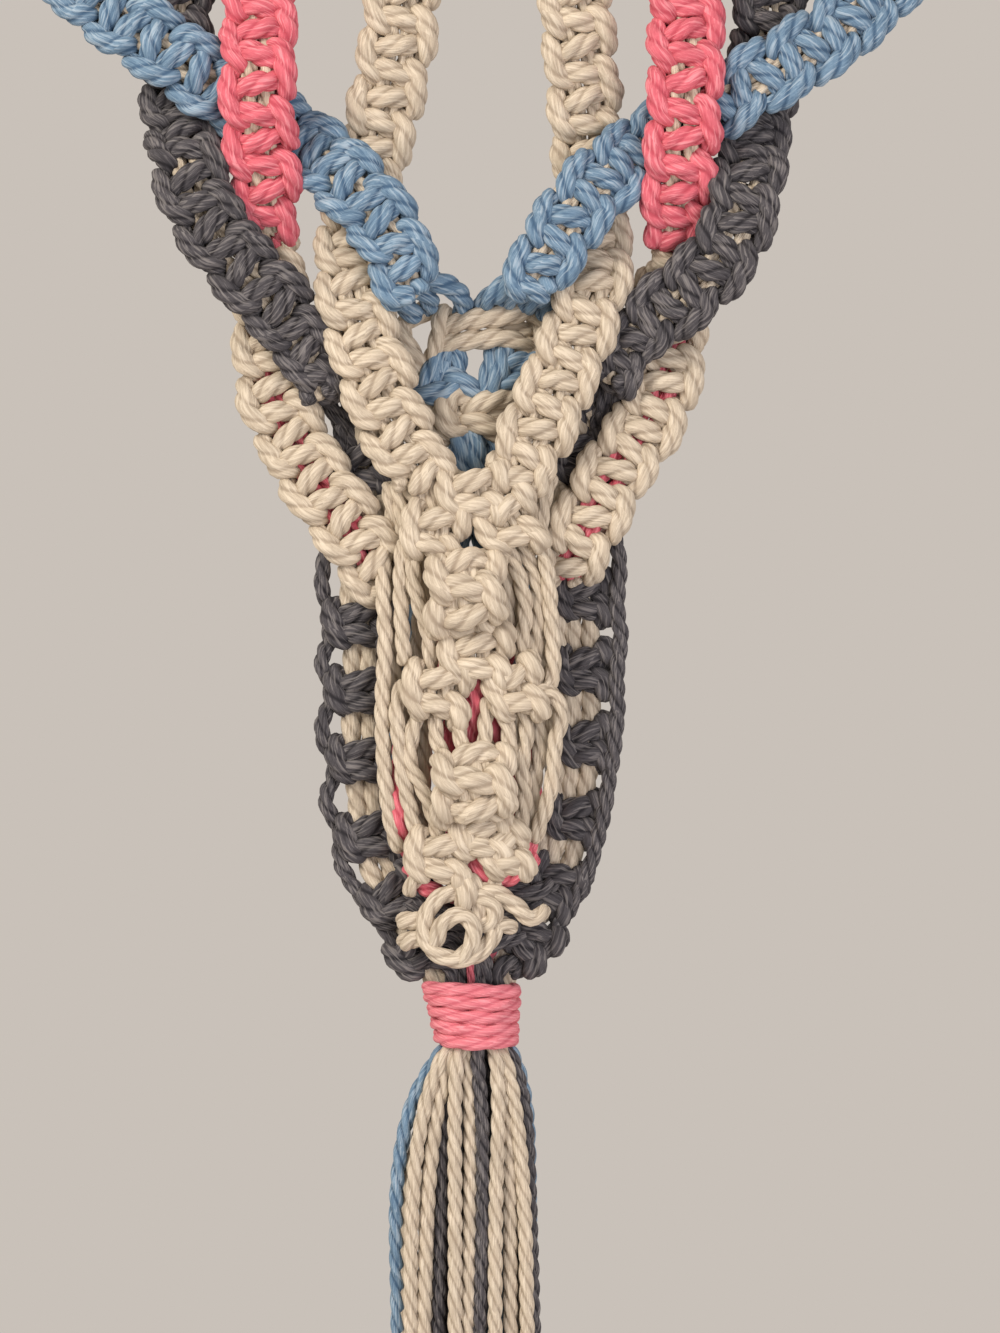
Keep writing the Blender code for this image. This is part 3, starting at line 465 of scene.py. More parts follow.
def three_ply_section(name, lobe_centre):
    """A closed flat curve of three lobes, 1 mm in radius, to be scaled by each cord."""
    section = bpy.data.curves.new(name, "CURVE")
    section.dimensions = "2D"
    spline = section.splines.new("POLY")
    spline.points.add(PROFILE_POINTS - 1)
    spline.use_cyclic_u = True
    lobe_radius = 1 - lobe_centre
    for i in range(PROFILE_POINTS):
        turn = 2 * math.pi * i / PROFILE_POINTS
        off = (turn + math.pi / 3) % (2 * math.pi / 3) - math.pi / 3
        reach = lobe_centre * math.cos(off)
        reach += math.sqrt(max(lobe_radius**2 - (lobe_centre * math.sin(off)) ** 2, 0))
        spline.points[i].co = (MM * reach * math.cos(turn), MM * reach * math.sin(turn), 0, 1)
    holder = bpy.data.objects.new(name, section)
    bpy.context.scene.collection.objects.link(holder)
    return holder


hanging_section = three_ply_section("hanging_section", HANGING_LOBES)
tied_section = three_ply_section("tied_section", TIED_LOBES)
former_curve = bpy.data.curves.new("cord_former", "CURVE")
former_curve.dimensions = "3D"
former_curve.twist_mode = "MINIMUM"
former_curve.bevel_mode = "OBJECT"
former = bpy.data.objects.new("cord_former", former_curve)
bpy.context.scene.collection.objects.link(former)
print(f"two sections of three plies, {PROFILE_POINTS} points each")

# %% Form one cord along a path
END_ROUNDING = 0.42  # in cord widths: how far from its end a tucked cord begins to narrow
TIP_WIDTH = 0.25  # share of its width that is left at its very end
TIP_RINGS = np.array([0.1, 0.4])  # two more rings of points, as shares of the rounding
MOST_HANGING = 1.05 * CORD  # a cord drawn thicker than this is one that is pulled tight
PATTERN_SPREAD = 4000  # in mm: each cord shows another stretch of the pattern
FINE_STEPS = 8  # read between two bends, to even out the spacing


def even_points(path, spacing, end_steps):
    """Points at even spacing along a path, rounded through its corners, and closer at its ends."""
    ends = np.vstack([2 * path[:1] - path[1:2], path, 2 * path[-1:] - path[-2:-1]])
    t = np.linspace(0, 1, FINE_STEPS, endpoint=False)[:, None]
    dense = [curved_between(*four, t) for four in zip(ends, ends[1:], ends[2:], ends[3:])]
    dense = np.vstack([*dense, path[-1:]])
    along = lengths_along(dense)
    count = max(4, round(along[-1] / spacing) + 1)
    wanted = np.linspace(0, along[-1], count)
    wanted = np.unique(np.concatenate([wanted, end_steps, along[-1] - end_steps]))
    columns = [np.interp(wanted, along, dense[:, k]) for k in range(path.shape[1])]
    return np.stack(columns, 1), wanted


def form_cord(path, thickness=CORD, lay=LAY, cut_ends=False, pressed=False):
    """One three-ply cord along a path in mm, as a mesh in metres with its map in mm.

    A fourth column of the path, if there is one, swells or thins the cord at each point.
    """
    rounding = END_ROUNDING * thickness
    points, along = even_points(np.asarray(path, float), RING_SPACING, rounding * TIP_RINGS)
    swell = points[:, 3] if points.shape[1] > 3 else np.ones(len(points))
    if not cut_ends:
        near_end = np.clip(np.minimum(along, along[-1] - along) / rounding, 0, 1)
        swell = swell * (TIP_WIDTH + (1 - TIP_WIDTH) * np.sqrt(1 - (1 - near_end) ** 2))
    start_turn, start_along = luck.uniform(0, 2 * math.pi), luck.uniform(0, PATTERN_SPREAD)
    pressed = pressed or thickness > MOST_HANGING
    former_curve.bevel_object = tied_section if pressed else hanging_section
    former_curve.splines.clear()
    spline = former_curve.splines.new("POLY")
    spline.points.add(len(points) - 1)
    spline.points.foreach_set("co", np.c_[points[:, :3] * MM, swell].ravel())
    spline.points.foreach_set("radius", swell * thickness / 2)
    spline.points.foreach_set("tilt", start_turn - 2 * math.pi * along / lay)
    former_curve.update_tag()
    bpy.context.view_layer.update()
    depsgraph = bpy.context.evaluated_depsgraph_get()
    mesh = bpy.data.meshes.new_from_object(former.evaluated_get(depsgraph))
    uv = np.zeros(len(mesh.loops) * 2, np.float32)
    mesh.uv_layers[0].data.foreach_get("uv", uv)
    uv = uv.reshape(-1, 2)
    uv = np.c_[start_along + uv[:, 0] * along[-1], uv[:, 1] * math.pi * CORD]
    mesh.uv_layers[0].data.foreach_set("uv", uv.ravel().astype(np.float32))
    return mesh


print(f"a ring of points every {RING_SPACING:.2f} mm along a cord")

# %% Join cords into one piece
def dress(name, cotton, paths, nodes, thickness=CORD, lay=None, cut_ends=False, wound=False):
    """Join cords into one piece that stands for these nodes of the solid model."""
    bm = bmesh.new()
    for path in paths:
        mesh = form_cord(path, thickness, lay or DYES_AND_PAINTED_LIGHT[cotton][4], cut_ends, pressed=wound)
        bm.from_mesh(mesh)
        bpy.data.meshes.remove(mesh)
    open_edges = [edge for edge in bm.edges if edge.is_boundary]
    bmesh.ops.holes_fill(bm, edges=open_edges, sides=0)
    bmesh.ops.recalc_face_normals(bm, faces=bm.faces)
    mesh = bpy.data.meshes.new(name)
    bm.to_mesh(mesh)
    bm.free()
    mesh.shade_smooth()
    # A wound cord takes the copy of its cotton that is painted paler, as painted light.
    mesh.materials.append(cottons[f"{cotton}_wound" if wound else cotton])
    piece = bpy.data.objects.new(name, mesh)
    bpy.context.scene.collection.objects.link(piece)
    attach(piece, "root")
    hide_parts(*nodes)
    triangles = sum(len(face.vertices) - 2 for face in mesh.polygons)
    print(f"{name}: {len(paths)} cords, {triangles} triangles")


# %% [markdown]
# ## A square knot
#
# Two core cords run straight down. Two tying cords cross round them, first from one side and then
# from the other. One of the two always passes in front and makes the bars down the middle. The
# other always passes behind: it comes out above the end of a bar, lies over it as a bump at the
# side, lies over the end of the next bar too, and dives below it. The twist of the cord makes both
# rows of bumps lean the same way. A knot could be simulated, by pulling loose loops tight, but that
# is slow and seldom ends in a neat row. A maker knows the way round by heart, and so do the tables
# here: they follow each cord once round, in cord widths to the right and the front, in shares of a
# knot along, and with how far the cord swells there.

# %% The two tying cords' way round one square knot
FRONT_CORD = [  # right, front, along, swell
    (-1.45, -0.55, 0.02, 0.85), (-1.20, 0.15, 0.14, 0.95), (-0.60, 1.02, 0.21, 1.10),
    (0.00, 1.22, 0.26, 1.15), (0.60, 1.02, 0.31, 1.10), (1.20, 0.15, 0.38, 0.95),
    (1.45, -0.55, 0.50, 0.85), (1.20, 0.15, 0.64, 0.95), (0.60, 1.02, 0.68, 1.10),
    (0.00, 1.22, 0.74, 1.15), (-0.60, 1.02, 0.81, 1.10), (-1.20, 0.15, 0.87, 0.95),
]
BACK_CORD = [
    (0.85, 0.35, 0.06, 0.90), (1.15, 0.92, 0.12, 1.10), (1.50, 1.00, 0.27, 1.20),
    (1.66, 0.92, 0.50, 1.22), (1.74, 0.72, 0.72, 1.15), (1.66, 0.15, 0.92, 0.95),
    (1.10, -0.80, 0.90, 0.85), (0.00, -1.08, 0.76, 0.85), (-1.10, -0.75, 0.60, 0.85),
    (-1.66, 0.10, 0.55, 0.95), (-1.72, 0.72, 0.76, 1.15), (-1.66, 0.92, 1.00, 1.22),
    (-1.48, 1.00, 1.23, 1.20), (-1.15, 0.90, 1.37, 1.10), (-0.90, 0.25, 1.44, 0.90),
    (-1.00, -0.75, 1.38, 0.85), (0.00, -1.08, 1.24, 0.85), (0.90, -0.70, 1.10, 0.85),
]
PRESSED = 0.72  # how far a pulled-tight knot is flattened, front to back
TIED = 1.2 * CORD  # a cord spreads where it is pulled tight round others
UNEVEN = 0.05  # in cord widths: no two knots are pulled alike
UNEVEN_SHARES = (1, 1, 0.2, 0.6)  # of it to the right, to the front, along and in swell
UNEVEN_CORE = 0.03  # in cord widths: the core cords stray less
CORE_RIGHT = 0.5  # the two core cords lie side by side
CORE_STEP = 0.8 * CORD  # from one point to the next along a core cord
SPARE = 0.02  # of a knot: points this little past the ends still count


def chain_of_knots(ruler, start, stop, pitch=KNOT_PITCH, width=1.0, phase=0.0, core_front=0.0):
    """Paths of the front cord, the back cord and the two core cords of a sennit on a ruler."""
    cords = []
    first, last = math.floor(start / pitch) - 2, math.ceil(stop / pitch) + 2
    for table in (FRONT_CORD, BACK_CORD):
        rows = np.array([(r, f, a + knot, s) for knot in range(first, last) for r, f, a, s in table])
        rows += luck.normal(0, UNEVEN, rows.shape) * UNEVEN_SHARES
        along = (rows[:, 2] - phase) * pitch
        keep = np.flatnonzero((along > start - SPARE * pitch) & (along < stop + SPARE * pitch))
        rows, along = rows[keep[0]:keep[-1] + 1], along[keep[0]:keep[-1] + 1]
        along = np.clip(along, start, stop)
        path = ruler.at(along, rows[:, 0] * CORD * width, rows[:, 1] * CORD * PRESSED)
        cords.append(np.c_[path, rows[:, 3]])
    steps = np.linspace(start, stop, max(3, round((stop - start) / CORE_STEP)))
    for side in (-CORE_RIGHT, CORE_RIGHT):
        wander = luck.normal(0, UNEVEN_CORE, len(steps))
        fronts = np.full(len(steps), core_front * CORD)
        cords.append(ruler.at(steps, (side * width + wander) * CORD, fronts))
    return cords


print(f"once round: {len(FRONT_CORD)} points of the front cord, {len(BACK_CORD)} of the back one")

# %% [markdown]
# ## The eight sennits
#
# The blue and the grey ones are tied round cream cores. The outer pair begins in pink tied round
# cream, and half way down the cords change places: the cream ones tie and the pink ones become the
# core, which shows as small pink specks between the knots. The inner pair is cream all through.
# A straight sennit could be made once and bent along each route with a modifier, but where routes
# bend or narrow, its cords would be squeezed with it. Tied afresh on each ruler, they keep their
# thickness. At the top each cord is one long cord folded in half, as it would be over a rod, so
# that no end shows there.

# %% Tie the sennits
SENNITS = [  # node, route, from, to (depths below the top edge), tying cords, core cords
    ("sennit_blue_left", "blue_left", 0, 135, "cotton_blue", "cotton_cream"),
    ("sennit_blue_right", "blue_right", 0, 135, "cotton_blue", "cotton_cream"),
    ("sennit_grey_left", "grey_left", 0, 164, "cotton_grey", "cotton_cream"),
    ("sennit_grey_right", "grey_right", 0, 160, "cotton_grey", "cotton_cream"),
    ("sennit_pink_left", "outer_left", 0, 114, "cotton_pink", "cotton_cream"),
    ("sennit_pink_right", "outer_right", 0, 119, "cotton_pink", "cotton_cream"),
    ("sennit_outer_left", "outer_left", 114, 225, "cotton_cream", "cotton_pink"),
    ("sennit_outer_right", "outer_right", 119, 219, "cotton_cream", "cotton_pink"),
    ("sennit_inner_left", "inner_left", 0, 190, "cotton_cream", "cotton_cream"),
    ("sennit_inner_right", "inner_right", 0, 190, "cotton_cream", "cotton_cream"),
]
# How near the face the cream core lies under each tying cotton, in cord widths.
CORE_FRONT = {"cotton_pink": 0.32, "cotton_blue": 0.2, "cotton_grey": 0.08, "cotton_cream": 0.3}
PINK_CORE_FRONT = 0.05
CORE_CORD = 1.04 * CORD
FOLD_RISES = (0.7 * CORD, 0.5 * CORD)  # how far the folds of tying and core cords stand up
SHOULDER_LIFT = 0.6  # share of the rise that lifts the fold's shoulders


def folded(first, second, rise):
    """Two cords that are one cord folded in half: joined by a round bend over their tops."""
    first, second = (np.c_[cord, np.ones(len(cord))][:, :4] for cord in (first, second))
    middle = (first[0] + second[0]) / 2 + (0, 0, rise, 0)
    lift = (0, 0, rise * SHOULDER_LIFT, 0)
    shoulders = [(3 * end + middle) / 4 + lift for end in (first[0], second[0])]
    return np.vstack([first[::-1], shoulders[0], middle, shoulders[1], second])


for name, route, down_from, down_to, tying, core in SENNITS:
    ruler = rulers[route]
    start = ruler.length_at_depth(down_from) if down_from else 0.0
    stop = ruler.length_at_depth(down_to)
    nearness = PINK_CORE_FRONT if core == "cotton_pink" else CORE_FRONT[tying]
    cords = chain_of_knots(ruler, start, stop, core_front=nearness)
    if not down_from:
        cords = [folded(*cords[:2], FOLD_RISES[0]), folded(*cords[2:], FOLD_RISES[1])]
    half = len(cords) // 2
    dress(f"{name}_tying_cords", tying, cords[:half], [name], TIED)
    dress(f"{name}_core_cords", core, cords[half:], [name], CORE_CORD)

# %% [markdown]
# ## Knots tied one by one
#
# In the panel and in the net the cords don't stay in one chain. Each knot is one square knot round
# two cords that come in at its top and leave at its foot, and the tying cords go on to the next
# knot beside or below it. A copy of one finished knot would give the same bumps everywhere. So each
# one is tied with the same tables as the sennits, on a short straight ruler tipped by its lean.

# %% One knot
SENNIT_WIDTH = 4.8 * CORD  # a knot as wide as this is tied with its tables as they are
KNOT_PHASE = 0.5  # a knot alone begins here, so that its one long bump is at its left
TAIL = 0.9 * CORD  # how far back the ends of a knot's tying cords are tucked
TUCK_ALONG, TUCK_SIDE = 0.35 * TAIL, 1.1 * CORD  # how far past the knot, and to its right
TUCK_SWELL = 0.85
CORE_INSET = 0.3 * TAIL  # a core cord begins and ends this far inside its knot
CORE_BULGE = 0.4 * CORD  # and bows this far to the front


def short_ruler(across, down, front, length, lean):
    """A straight ruler of this length round a point, its foot swung to the right by the lean."""
    tip = math.radians(lean)
    half = length / 2
    top = (across - half * math.sin(tip), down - half * math.cos(tip), front)
    foot = (across + half * math.sin(tip), down + half * math.cos(tip), front)
    return Ruler(smooth_curve([(*top, 1), (*foot, 1)]))


def one_knot(across, down, front, width, height, lean):
    """Two tying cords and two core cords of a single square knot, with their ends tucked back."""
    ruler = short_ruler(across, down, front, height, lean)
    share = width / SENNIT_WIDTH
    cords = chain_of_knots(ruler, 0, height, pitch=height, width=share, phase=KNOT_PHASE)
    for i in (0, 1):
        ends = [-TUCK_ALONG, height + TUCK_ALONG]
        tucked = ruler.at(ends, [TUCK_SIDE * share] * 2, [-TAIL] * 2)
        tucked = np.c_[tucked, (TUCK_SWELL, TUCK_SWELL)]
        cords[i] = np.vstack([tucked[:1], cords[i], tucked[1:]])
    for i, side in ((2, -CORE_RIGHT), (3, CORE_RIGHT)):
        steps = np.array([CORE_INSET, height / 2, height - CORE_INSET])
        cords[i] = ruler.at(steps, np.full(3, side * CORD * share), (0, CORE_BULGE, 0))
    return cords


def knot_cords(rows):
    """Tying cords and core cords of many single knots."""
    knots = [one_knot(*row) for row in rows]
    tying = [cord for knot in knots for cord in knot[:2]]
    return tying, [cord for knot in knots for cord in knot[2:]]


print(f"a knot of a sennit's full width is {SENNIT_WIDTH:.0f} mm wide")

# %% [markdown]
# ## A berry knot
#
# For a berry, a maker ties a short sennit, takes its cords back up through the knot above it and
# pulls, so that it rolls up into a ball that stands out from the panel. A ball with bumps would be
# quicker, but its cords would not be seen to go round and under each other. So the same chain of
# knots is tied once more, on a ruler that is bent round the front of the ball.

# %% A berry: two knots rolled up
BERRY_TURN = 110  # degrees that the roll goes round, above and below its front
BERRY_BENDS = 9
BERRY_KNOTS, BERRY_PHASE = 2.1, 0.3
BERRY_IN = (1.25 * CORD, 0.8 * CORD)  # from the ball's top and front to the line it is tied on
BERRY_SUNK = 0.4  # how far back the ball's middle lies, as a share of the depth of that line
STUFFING_STEPS, STUFFING_FRONT = 12, 0.15 * CORD  # one more cord inside, so that it isn't hollow


def berry_cords(across, down, front, width, height, depth):
    """A sennit rolled forward into a ball: its bars run round the front of the ball."""
    angles = np.radians(np.linspace(-BERRY_TURN, BERRY_TURN, BERRY_BENDS))
    tall, deep = height / 2 - BERRY_IN[0], depth / 2 - BERRY_IN[1]
    middle = front - deep * BERRY_SUNK
    rows = [(across, down + tall * math.sin(a), middle + deep * math.cos(a), 1) for a in angles]
    ruler = Ruler(smooth_curve(rows, STEP / 2))
    cords = chain_of_knots(ruler, 0, ruler.length, pitch=ruler.length / BERRY_KNOTS,
                           width=width / SENNIT_WIDTH, phase=BERRY_PHASE)
    steps = np.linspace(0, ruler.length, STUFFING_STEPS)
    stuffing = ruler.at(steps, np.zeros(STUFFING_STEPS), np.full(STUFFING_STEPS, STUFFING_FRONT))
    return [*cords, stuffing]


print(f"a berry rolls {BERRY_KNOTS} knots through {2 * BERRY_TURN} degrees")

# %% [markdown]
# ## The front panel
#
# Where the two inner sennits meet, their cords are knotted together into a narrow cream panel. It
# has alternating knots at its sides, two berry knots that stand out from it, and one at its foot
# that was left open and shows as a ring. Single cords bow out past the berries from knot to knot.
# The knots could be set out on a regular grid, but a hand-tied panel isn't regular: each knot has
# its own place, size and lean here, and each single cord its own few bends.

# %% The panel's knots and berries, in millimetres
PANEL_KNOTS = [  # across, down, front, width, height, lean
    (1, 193.5, 5, 24, 14, 2),
    (-10.5, 205.5, 4.5, 21, 17, -12),
    (11.5, 202.5, 4.5, 20, 16.5, 20),
    (1.8, 242, 5, 24, 14, 0),
    (-9.6, 252.5, 4.5, 22, 16, -6),
    (13.4, 252, 4.5, 17.6, 15, 12),
    (3.3, 296, 5, 19, 10.5, 0),
    (-9, 302, 5, 21, 14.5, -8),
    (10.8, 300.6, 4.5, 14.5, 13, 14),
]
BERRIES = [  # across, down, front, width, height, depth
    (-1.2, 223.5, 9, 25, 26.5, 21),
    (1.5, 280.5, 9, 27, 25, 21),
]
print(f"{len(PANEL_KNOTS)} knots, {len(BERRIES)} berries")

# %% The panel's single cords and the cords of its ring, in millimetres
PANEL_STRANDS = [  # single cords: across, down, front at each bend
    [(-16.2, 209, 4), (-17, 218, 6), (-15, 227, 6), (-12.3, 236, 5.5), (-11.7, 247, 3)],
    [(-20, 207, 3), (-20.7, 219, 4), (-20.4, 231, 4), (-19.5, 245, 3)],
    [(-25, 205, -6), (-26, 220, 1), (-25.4, 238, 2.5), (-26.2, 256, 3), (-25.8, 272, 3),
     (-24.8, 284, 3), (-23.4, 293, 1.5), (-21, 301, 0)],
    [(-20, 249, 3), (-21.9, 258, 4.5), (-21, 268, 5), (-20, 278, 5), (-17.7, 288, 5),
     (-15.5, 298, 3)],
    [(-15.3, 258, 3), (-17.4, 266, 5), (-17.7, 274, 5.5), (-13.8, 282, 6), (-10.8, 290, 5.5),
     (-8.4, 299, 4)],
    [(-9.6, 257, 4), (-10.2, 265, 5.5), (-7, 275, 7)],
    [(-5.4, 254, 4), (-3.6, 262, 6.5), (-1.8, 271, 9)],
    [(5.6, 254, 4), (4.6, 262, 6.5), (4.4, 271, 9)],
    [(9, 257, 4), (11.4, 264, 5.5), (12.0, 273, 6)],
    [(10.5, 208, 4), (14.6, 218, 5.5), (16.6, 228, 5.5), (15.8, 237, 5), (15.9, 248, 3.5)],
    [(15, 207, 2), (19.5, 219, 2.5), (20.5, 229, 2.5), (19, 246, 2)],
    [(17.4, 199.5, 5), (22.5, 213, 5), (24.3, 231, 4.5), (24.5, 249, 4.5), (18, 252, 5)],
    [(17, 252.5, 6), (24.5, 253, 5.5), (27.3, 260, 4.5), (25.4, 268, 4.5), (25, 276, 4.5),
     (23, 286, 4.5), (19, 298, 3)],
    [(15, 254, 4), (17, 264, 4.5), (15.6, 274.5, 4.5), (16.5, 285, 4.5), (14, 298, 3.5)],
    [(19.5, 256, -1), (21, 268.5, 0), (19.5, 279, 0), (17, 296, 0)],
    [(-19, 186, 0, 1.2), (-17, 193, 1, 1.2), (-14, 200, 2)],
    [(-22.5, 189, -2, 1.1), (-20.5, 197, 0, 1.1), (-20, 206, 1)],
    [(-27, 193, -9), (-25.5, 204, -8, 1.2), (-25, 215, -7)],
    [(-30.5, 195, -10), (-29, 207, -9, 1.2), (-27.6, 218, -8)],
    [(24.5, 187, -2, 1.1), (22, 195, 0.5, 1.15), (21.4, 204, 1.5), (23, 214, 1)],
    [(-13.5, 188, 3), (-13.8, 194, 3.4), (-12.6, 201, 2)],
    [(-9.6, 187, 4), (-10.9, 193.4, 4.4), (-10, 200, 4)],
    [(-25, 189.5, -4), (-23.6, 197, -2), (-23, 205, -2)],
    [(9.4, 209, 2), (10.8, 218, 3), (11.3, 226, 2), (11, 236, 1)],
    [(14.4, 252, 2), (13.9, 262, 1), (12.4, 272, 1)],
    [(22.4, 251, -3), (24.2, 261, -4), (23, 272, -5)],
    [(7.6, 256, -2), (7.4, 266, -2), (8, 275, -1)],
    [(-15, 226, -4), (-15.4, 240, -4, 1.1), (-13.8, 254, -4, 1.1), (-13.4, 268, -3, 1.1),
     (-14.4, 284, -3, 1.1), (-12, 298, -2)],
    [(-19, 250, -1), (-19.3, 262, -1), (-18.6, 276, -1), (-16, 290, -1)],
    [(21.6, 228, -1), (22.2, 242, -1), (22, 254, -1)],
    [(-22.6, 230, -3), (-22.8, 242, -3, 1.1), (-22.4, 256, -3), (-22, 266, -5)],
    [(-11, 204, -1), (-13.2, 212, -0.5), (-13.6, 222, -1), (-12, 234, -1)],
    [(9, 205, 0), (12.6, 214, -1), (13.8, 226, -1.5), (12.4, 240, -1)],
    [(28, 190, -9), (26.5, 203, -8, 1.2), (26.5, 216, -8)],
    [(-12, 303, 5), (-16.5, 309, 5.5), (-18.5, 313.5, 3)],
    [(-4.5, 304, 5), (-2.4, 310.5, 7.5), (-1.2, 316, 7)],
    [(9.5, 306, 4), (6.6, 312, 6), (5.4, 317, 6)],
]
RING_STRANDS = [  # the open knot at the foot: each cord goes over one and under the next
    [(-12.4, 329.6, 8), (-10, 326, 10), (-8.2, 321.8, 11), (-4.8, 319, 11.8), (-0.6, 319.4, 12.2),
     (1.2, 323.2, 12), (0.6, 327.4, 11.4), (-2, 331, 10.8), (-5.6, 333, 8)],
    [(-2.6, 311.4, 8.4), (-8, 313.2, 8.8), (-12, 317, 8.8), (-13.6, 322.6, 9.2), (-12.2, 327.8, 9.6),
     (-8.4, 331, 10.2), (-3.4, 332, 10.4), (1.6, 330.8, 9.8), (5.4, 327.6, 9), (7.4, 323.4, 8),
     (7.2, 319, 6)],
    [(0.4, 307, 5), (2.2, 312.6, 8), (2.6, 318, 8.4), (1.4, 322.4, 8)],
    [(-2.8, 306.4, 4), (-1.2, 309.8, 9, 1.2), (-1, 313.6, 10.4, 1.3), (-2.6, 317.4, 9)],
    [(-0.6, 313.8, 8), (4.2, 313.8, 9.4), (7.4, 316.6, 9.4), (6.6, 320.6, 9), (2.6, 322.6, 8)],
    [(2.6, 311.4, 7), (8.6, 312.8, 8), (13.6, 316.4, 7, 1.05), (18, 320.2, 6, 0.95),
     (21.2, 319, 5, 0.9), (22.9, 316.4, 4, 0.85)],
    [(5.4, 322.4, 8), (10, 321.8, 7), (14, 323.6, 5.4, 0.85)],
    [(-9.6, 322.4, 8), (-14.4, 320.6, 7.4), (-18.4, 321, 5.4, 1.1), (-20.6, 321.4, 1)],
    [(-11.4, 327.4, 7), (-15.4, 325.8, 7.2), (-18.4, 327.2, 5, 1.1), (-20, 327.2, 0.5)],
]


def strand_path(bends):
    """A single cord's path through its bends; a fourth number swells the cord there."""
    return np.array([[*place(*bend[:3]), bend[3] if len(bend) > 3 else 1.0] for bend in bends])


print(f"{len(PANEL_STRANDS)} single cords, {len(RING_STRANDS)} cords in the ring")

# %% Tie the panel
BERRY_CORD = 1.1 * TIED
RING_CORD = 1.1 * CORD
panel_tying, panel_cores = knot_cords(PANEL_KNOTS)
dress("panel_knots", "cotton_cream", panel_tying, ["front_panel"], TIED)
dress("panel_core_cords", "cotton_cream", panel_cores, ["front_panel"])
berries = [berry_cords(*row) for row in BERRIES]
dress("panel_berries", "cotton_cream", [cord for berry in berries for cord in berry],
      ["front_panel"], BERRY_CORD)
dress("panel_ring", "cotton_cream", [strand_path(bends) for bends in RING_STRANDS],
      ["front_panel"], RING_CORD)
dress("panel_single_cords", "cotton_cream", [strand_path(bends) for bends in PANEL_STRANDS],
      ["front_panel"])

# %% [markdown]
# ## The net behind
#
# Behind the panel the other cords make an open net. In its middle the blue and the cream cords are
# knotted right across. Only parts of these knots show between the two inner sennits, and none of
# them is a plain square knot, so a table of knots is of no use here. Each cord gets its own bends,
# as they are seen, and ends under the sennits that hide it.

